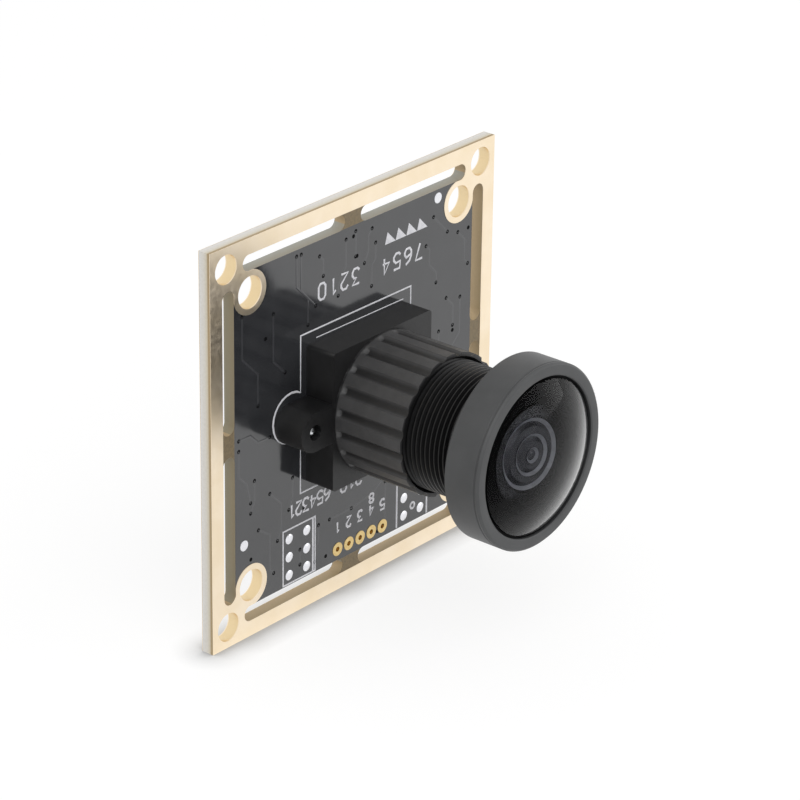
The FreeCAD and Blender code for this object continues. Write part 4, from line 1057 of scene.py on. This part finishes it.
def small_parts(kind, high, spots, body_finish):
    """The bodies and ends of one kind of small two-ended part."""
    half_wide = SMALL_WIDE / 2
    half_long = SMALL_LONG / 2
    bodies = block(kind + "_chips", (-half_wide + BODY_SUNK, half_wide - BODY_SUNK),
                   (-half_long + SMALL_END, half_long - SMALL_END),
                   (BACK - high + BODY_SUNK, BACK - BODY_SUNK))
    soften(bodies, 0.03)
    bodies = copies(bodies, spots)
    stand(bodies, "root", body_finish)
    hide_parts(kind + "_bodies")
    ends = block(kind + "_tips", (-half_wide, half_wide), (half_long - SMALL_END, half_long),
                 (BACK - high, BACK))
    soften(ends, 0.07, segments=3)
    fillet = block("fillet", (-half_wide + 0.05, half_wide - 0.05), (half_long - 0.1, half_long + FILLET_OUT),
                   (BACK - 0.8 * high, BACK))
    edit_all(fillet)
    slope = (0, 0.7 * high, -FILLET_OUT)
    bpy.ops.mesh.bisect(plane_co=(0, half_long + FILLET_OUT, BACK - 0.04), plane_no=slope,
                        use_fill=True, clear_outer=True)
    leave_edit()
    combine(ends, fillet, "UNION")
    ends = copies(ends, [(0, 0, 0), (0, 0, 180)])
    ends = copies(ends, spots)
    stand(ends, "root", "tin")
    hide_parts(kind + "_ends")


small_parts("capacitor", 0.8, CAPACITOR_SPOTS, "ceramic")
small_parts("resistor", 0.45, RESISTOR_SPOTS, "glaze")

# Cable socket: a shroud that opens upwards, with two key slots in its outer wall, and five bent pins
SOCKET_X = 0.7
SOCKET_HALF = 4.6
SOCKET_WALL = 0.7
SOCKET_FLOOR = 0.9
SOCKET_FACE = BACK - 3.4
SOCKET_LOW = 9.0
SOCKET_TOP = 13.3
KEY_APART = 2.6
PIN_SIDE = 0.32
PIN_PITCH = 1.5
PIN_FOOT = 8.0 + PIN_SIDE / 2
PIN_DEPTH = BACK - 1.7
PIN_END = 12.5
PIN_SPOTS = [SOCKET_X + step * PIN_PITCH for step in (-2, -1, 0, 1, 2)]
socket = block("socket_shroud", (SOCKET_X - SOCKET_HALF, SOCKET_X + SOCKET_HALF), (SOCKET_LOW, SOCKET_TOP),
               (SOCKET_FACE, BACK))
soften(socket, 0.12)
inner_half = SOCKET_HALF - SOCKET_WALL
mouth = block("mouth", (SOCKET_X - inner_half, SOCKET_X + inner_half),
              (SOCKET_LOW + SOCKET_FLOOR, SOCKET_TOP + 1), (SOCKET_FACE + SOCKET_WALL, BACK - SOCKET_WALL))
combine(socket, mouth, "DIFFERENCE")
for side in (-1, 1):
    key_x = SOCKET_X + side * KEY_APART
    key = block("key", (key_x - 0.5, key_x + 0.5), (SOCKET_TOP - 2.2, SOCKET_TOP + 1),
                (SOCKET_FACE - 1, SOCKET_FACE + SOCKET_WALL + 0.1))
    combine(socket, key, "DIFFERENCE")
soften(socket, 0.05, angle=60.0)
stand(socket, "root", "socket")
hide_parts("socket_housing")
pins = bent_strip("socket_prongs", [(PIN_FOOT, BACK), (PIN_FOOT, PIN_DEPTH), (PIN_END, PIN_DEPTH)],
                  PIN_SIDE, PIN_SIDE)
pick(pins, "VERT", lambda co: co.x > PIN_END - 0.02)
bpy.ops.transform.resize(value=(1, 0.6, 0.6), center_override=(PIN_END, 0, PIN_DEPTH))
leave_edit()
pins = copies(pins, [(x, 0, 90) for x in PIN_SPOTS])
stand(pins, "root", "tin")
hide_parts("socket_pins")

# Tinned pads under the legs, pins and ends, by their width and height
end_spots = [(x, y + side * 0.9) for x, y, turn in CAPACITOR_SPOTS + RESISTOR_SPOTS for side in (-1, 1)]
foot_spots = [(x, y + side * 2.75) for x, y in leg_spots for side in (-1, 1)]
foot_spots += [(x, y + math.copysign(1.6, turn)) for x, y, turn in regulator_spots]
pin_spots = [(x, PIN_FOOT) for x in PIN_SPOTS]
for name, wide, high, spots in (("end_pads", 0.95, 0.75, end_spots), ("leg_pads", 0.62, 1.0, foot_spots),
                                ("pin_pads", 0.8, 1.5, pin_spots)):
    pads = block(name, (-wide / 2, wide / 2), (-high / 2, high / 2), (BACK - 0.03, BACK + 0.02))
    soften(pads, 0.02)
    pads = copies(pads, [(x, y, 0) for x, y in spots])
    stand(pads, "root", "tin")

# Covered traces and printed outlines on the back
BACK_ROUTES = [
    [(-4.9, 6.5), (-6.2, 6.5), (-7.4, 7.2), (-7.4, 5.2), (-8.5, 4.6)],
    [(-4.9, 5.5), (-6.6, 5.5), (-8.6, 3.6), (-12.0, 3.6), (-12.3, 4.7)],
    [(-4.9, 4.5), (-6.4, 4.5), (-8.0, 2.9), (-12.9, 2.9)],
    [(4.9, 6.0), (6.0, 6.0), (6.6, 5.6), (7.2, 5.6)],
    [(4.9, 5.0), (6.6, 5.0), (7.2, 4.6)],
    [(4.9, 1.0), (8.0, 1.0), (9.5, -0.5), (11.8, -0.5)],
    [(4.9, 0.0), (7.6, 0.0), (9.6, -2.0), (9.6, -4.2)],
    [(-4.9, 1.0), (-8.0, 1.0), (-9.5, -0.5), (-11.8, -0.5)],
    [(-4.9, 0.0), (-7.6, 0.0), (-9.6, -2.0), (-9.6, -4.2)],
    [(-2.0, 7.9), (-2.3, 8.6)],
    [(0.7, 7.9), (0.7, 8.6)],
    [(2.2, 7.9), (2.2, 8.6)],
    [(-1.9, -1.9), (-1.9, -3.4)],
    [(0.0, -1.9), (0.0, -3.4)],
    [(1.9, -1.9), (1.9, -3.4)],
    [(3.6, -1.9), (3.8, -3.4)],
    [(-9.6, -7.9), (-9.6, -9.4)],
    [(-3.8, -7.6), (-3.8, -9.0), (-6.0, -11.2), (-7.8, -11.2)],
    [(3.8, -7.6), (3.8, -9.0), (5.5, -10.7), (5.5, -13.0), (4.0, -14.5)],
    [(9.6, 9.3), (9.6, 8.0), (12.6, 5.0), (12.6, 3.0)],
    [(6.0, 11.2), (5.6, 10.9), (5.6, 8.2), (6.4, 7.4), (10.0, 7.4)],
    [(-6.0, 13.5), (-6.0, 10.0), (-7.0, 9.0)],
    [(13.0, -3.0), (13.0, -9.0), (11.0, -11.0), (11.0, -14.0)],
    [(-13.0, -3.0), (-13.0, -7.5), (-11.2, -9.3)],
]
back_traces = raised_lines("back_traces", BACK_ROUTES, TRACE_WIDE, TRACE_HIGH, BACK)
stand(back_traces, "root", "covered")


def frame_run(x_low, x_high, y_low, y_high):
    """The four sides of a printed frame."""
    return [(x_low, y_low), (x_high, y_low), (x_high, y_high), (x_low, y_high), (x_low, y_low)]


# The controller has two printed sides, and every other part a whole frame
back_runs = [frame_run(-5.1, 5.1, -2.1, 8.1)[:3]]
back_runs += [frame_run(*edges) for edges in (
    (-13.2, -7.6, 4.7, 11.3), (-4.2, 5.6, 7.0, 13.6), (7.1, 10.9, 3.85, 6.95), (-11.5, -7.7, -13.1, -9.3),
    (-4.6, 4.6, -7.9, -3.1))]
back_runs += [frame_run(x - 1.8, x + 1.8, y - 2.3, y + 2.3) for x, y in REGULATORS]
back_runs += [frame_run(x - 0.7, x + 0.7, -3.1, 3.1) for x in (-RESISTOR_X, RESISTOR_X)]
back_runs += [arc(4.55, 7.4, 0.22), arc(-7.1, 5.2, 0.22)]
for label, x, y in (("1", 6.3, 12.6), ("5", -5.0, 12.6), ("12", 2.2, -9.2), ("34", 7.8, -9.6),
                    ("56", -6.2, -9.0), ("7", 11.9, 5.4), ("80", 13.4, 8.9), ("2", 14.6, 0.0),
                    ("3", -14.6, 0.0), ("41", -10.0, 12.8)):
    back_runs += numerals(label, x, y, 0.9, 0.8, side=-1)
back_legend = raised_lines("back_legend", back_runs, 0.16, 0.015, BACK)
stand(back_legend, "root", "ink")

# Finishes of the solids that keep their own shape
CAD_FINISHES = {
    "circuit_board": "board", "frame_plating": "gold", "test_pads": "probe_gold", "fiducial_pads": "tin",
    "controller_leads": "tin", "ir_filter": "filter", "sensor_body": "package", "sensor_die": "silicon",
    "sensor_glass": "inner_glass", "third_glass": "inner_glass", "fourth_glass": "inner_glass",
    "rear_glass": "inner_glass", "spacer_ring_front": "spacer", "spacer_ring_middle": "spacer",
    "aperture_stop": "spacer", "spacer_ring_rear": "baffle", "rear_retainer": "baffle",
}
for name, finish_name in CAD_FINISHES.items():
    cad_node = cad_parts[name]
    cad_node.data.materials.clear()
    cad_node.data.materials.append(FINISHES[finish_name])

# Floor and light: a white sweep under soft, even light
FLOOR_SIDE = 6.0
SHADE_REACH = 3.2
SHADE_DEPTH = 2.0
FLOOR_GLOW = 0.78
WORLD_LIGHT = 0.55
deselect()
bpy.ops.mesh.primitive_plane_add(size=FLOOR_SIDE, location=(0, 0, -BOARD_HALF * MM))
floor = named("floor")
settle(floor)


def seen_directly(finish):
    """One for the rays that come straight from the camera, or by way of metal or glass."""
    path = node(finish, "LightPath").outputs
    either = node(finish, "Math", {0: path["Is Camera Ray"], 1: path["Is Glossy Ray"]},
                  operation="MAXIMUM")
    return node(finish, "Math", {0: either, 1: path["Is Transmission Ray"]}, operation="MAXIMUM")


# White paper, which looks evenly white and darkens close under the board's edge in a painted shadow; for the
# rays that light the object it is plain matt paper
floor_finish = new_finish("white_sweep")[0]
paper = node(floor_finish, "BsdfDiffuse", {"Color": colour("#EDEDED")})
shade = node(floor_finish, "BsdfDiffuse", {"Color": colour("#969696")})
# Ambient occlusion paints the shadow close under the board's edge
painted_shade_ao = node(floor_finish, "AmbientOcclusion", {"Distance": SHADE_REACH * MM}).outputs["AO"]
straight = node(floor_finish, "LightPath").outputs["Is Camera Ray"]
other_rays = node(floor_finish, "Math", {0: 1.0, 1: straight}, operation="SUBTRACT")
open_share = node(floor_finish, "Math", {0: painted_shade_ao, 1: other_rays}, operation="MAXIMUM")
deepened = node(floor_finish, "Math", {0: open_share, 1: SHADE_DEPTH}, operation="POWER")
strength = node(floor_finish, "Math", {0: deepened, 1: FLOOR_GLOW}, operation="MULTIPLY")
glow = node(floor_finish, "Emission", {"Strength": strength})
bright = node(floor_finish, "AddShader", {0: shade, 1: glow})
sweep = node(floor_finish, "MixShader", {0: seen_directly(floor_finish), 1: paper, 2: bright})
node(floor_finish, "OutputMaterial", {"Surface": sweep})
floor.data.materials.append(floor_finish)

world = bpy.data.worlds.new("studio")
world.use_nodes = True
bpy.context.scene.world = world
world.node_tree.nodes.clear()
plain = node(world, "Background", {"Color": colour("#FFFFFF"), "Strength": WORLD_LIGHT})
white = node(world, "Background", {"Color": colour("#FFFFFF"), "Strength": 1.0})
surround = node(world, "MixShader", {0: seen_directly(world), 1: plain, 2: white})
node(world, "OutputWorld", {"Surface": surround})


def soft_light(name, place, size, power):
    """A square soft box that faces the object."""
    light = bpy.data.lights.new(name, "AREA")
    light.size = size
    light.energy = power
    lamp = bpy.data.objects.new(name, light)
    lamp.location = place
    lamp.rotation_euler = (-Vector(place)).to_track_quat("-Z", "Y").to_euler()
    bpy.context.scene.collection.objects.link(lamp)


# Each box is as large as it must be to look no brighter than the white surround in a mirror
soft_light("key_light", (-0.35, -0.45, 0.55), 0.84, 2.3)
soft_light("fill_light", (0.5, -0.5, 0.25), 0.54, 0.92)

# Camera: it looks at the board from the left of the lens and a little above
CAMERA_TURN = math.radians(-50.285)
CAMERA_RISE = math.radians(24.757)
CAMERA_ROLL = math.radians(0.815)
CAMERA_DISTANCE = 330.454
AIM_RIGHT = -3.923
AIM_UP = 0.822
FOCAL_PIXELS = 3710.388
IMAGE_PIXELS = 800
SENSOR_MM = 36.0
ahead = Vector((-math.sin(CAMERA_TURN) * math.cos(CAMERA_RISE), math.cos(CAMERA_TURN) * math.cos(CAMERA_RISE),
                -math.sin(CAMERA_RISE)))
level = Vector((math.cos(CAMERA_TURN), math.sin(CAMERA_TURN), 0))
overhead = level.cross(ahead)
right = math.cos(CAMERA_ROLL) * level + math.sin(CAMERA_ROLL) * overhead
upward = -math.sin(CAMERA_ROLL) * level + math.cos(CAMERA_ROLL) * overhead
stand_point = -ahead * CAMERA_DISTANCE - right * AIM_RIGHT - upward * AIM_UP
camera_data = bpy.data.cameras.new("camera")
camera_data.sensor_width = SENSOR_MM
camera_data.lens = FOCAL_PIXELS * SENSOR_MM / IMAGE_PIXELS
camera_data.clip_start = 0.01
camera_data.clip_end = 20
camera = bpy.data.objects.new("camera", camera_data)
turn_matrix = Matrix((right, upward, -ahead)).transposed()
camera.matrix_world = Matrix.Translation(stand_point * MM) @ turn_matrix.to_4x4()
bpy.context.scene.collection.objects.link(camera)
bpy.context.scene.camera = camera
bpy.context.scene.view_settings.view_transform = "Standard"
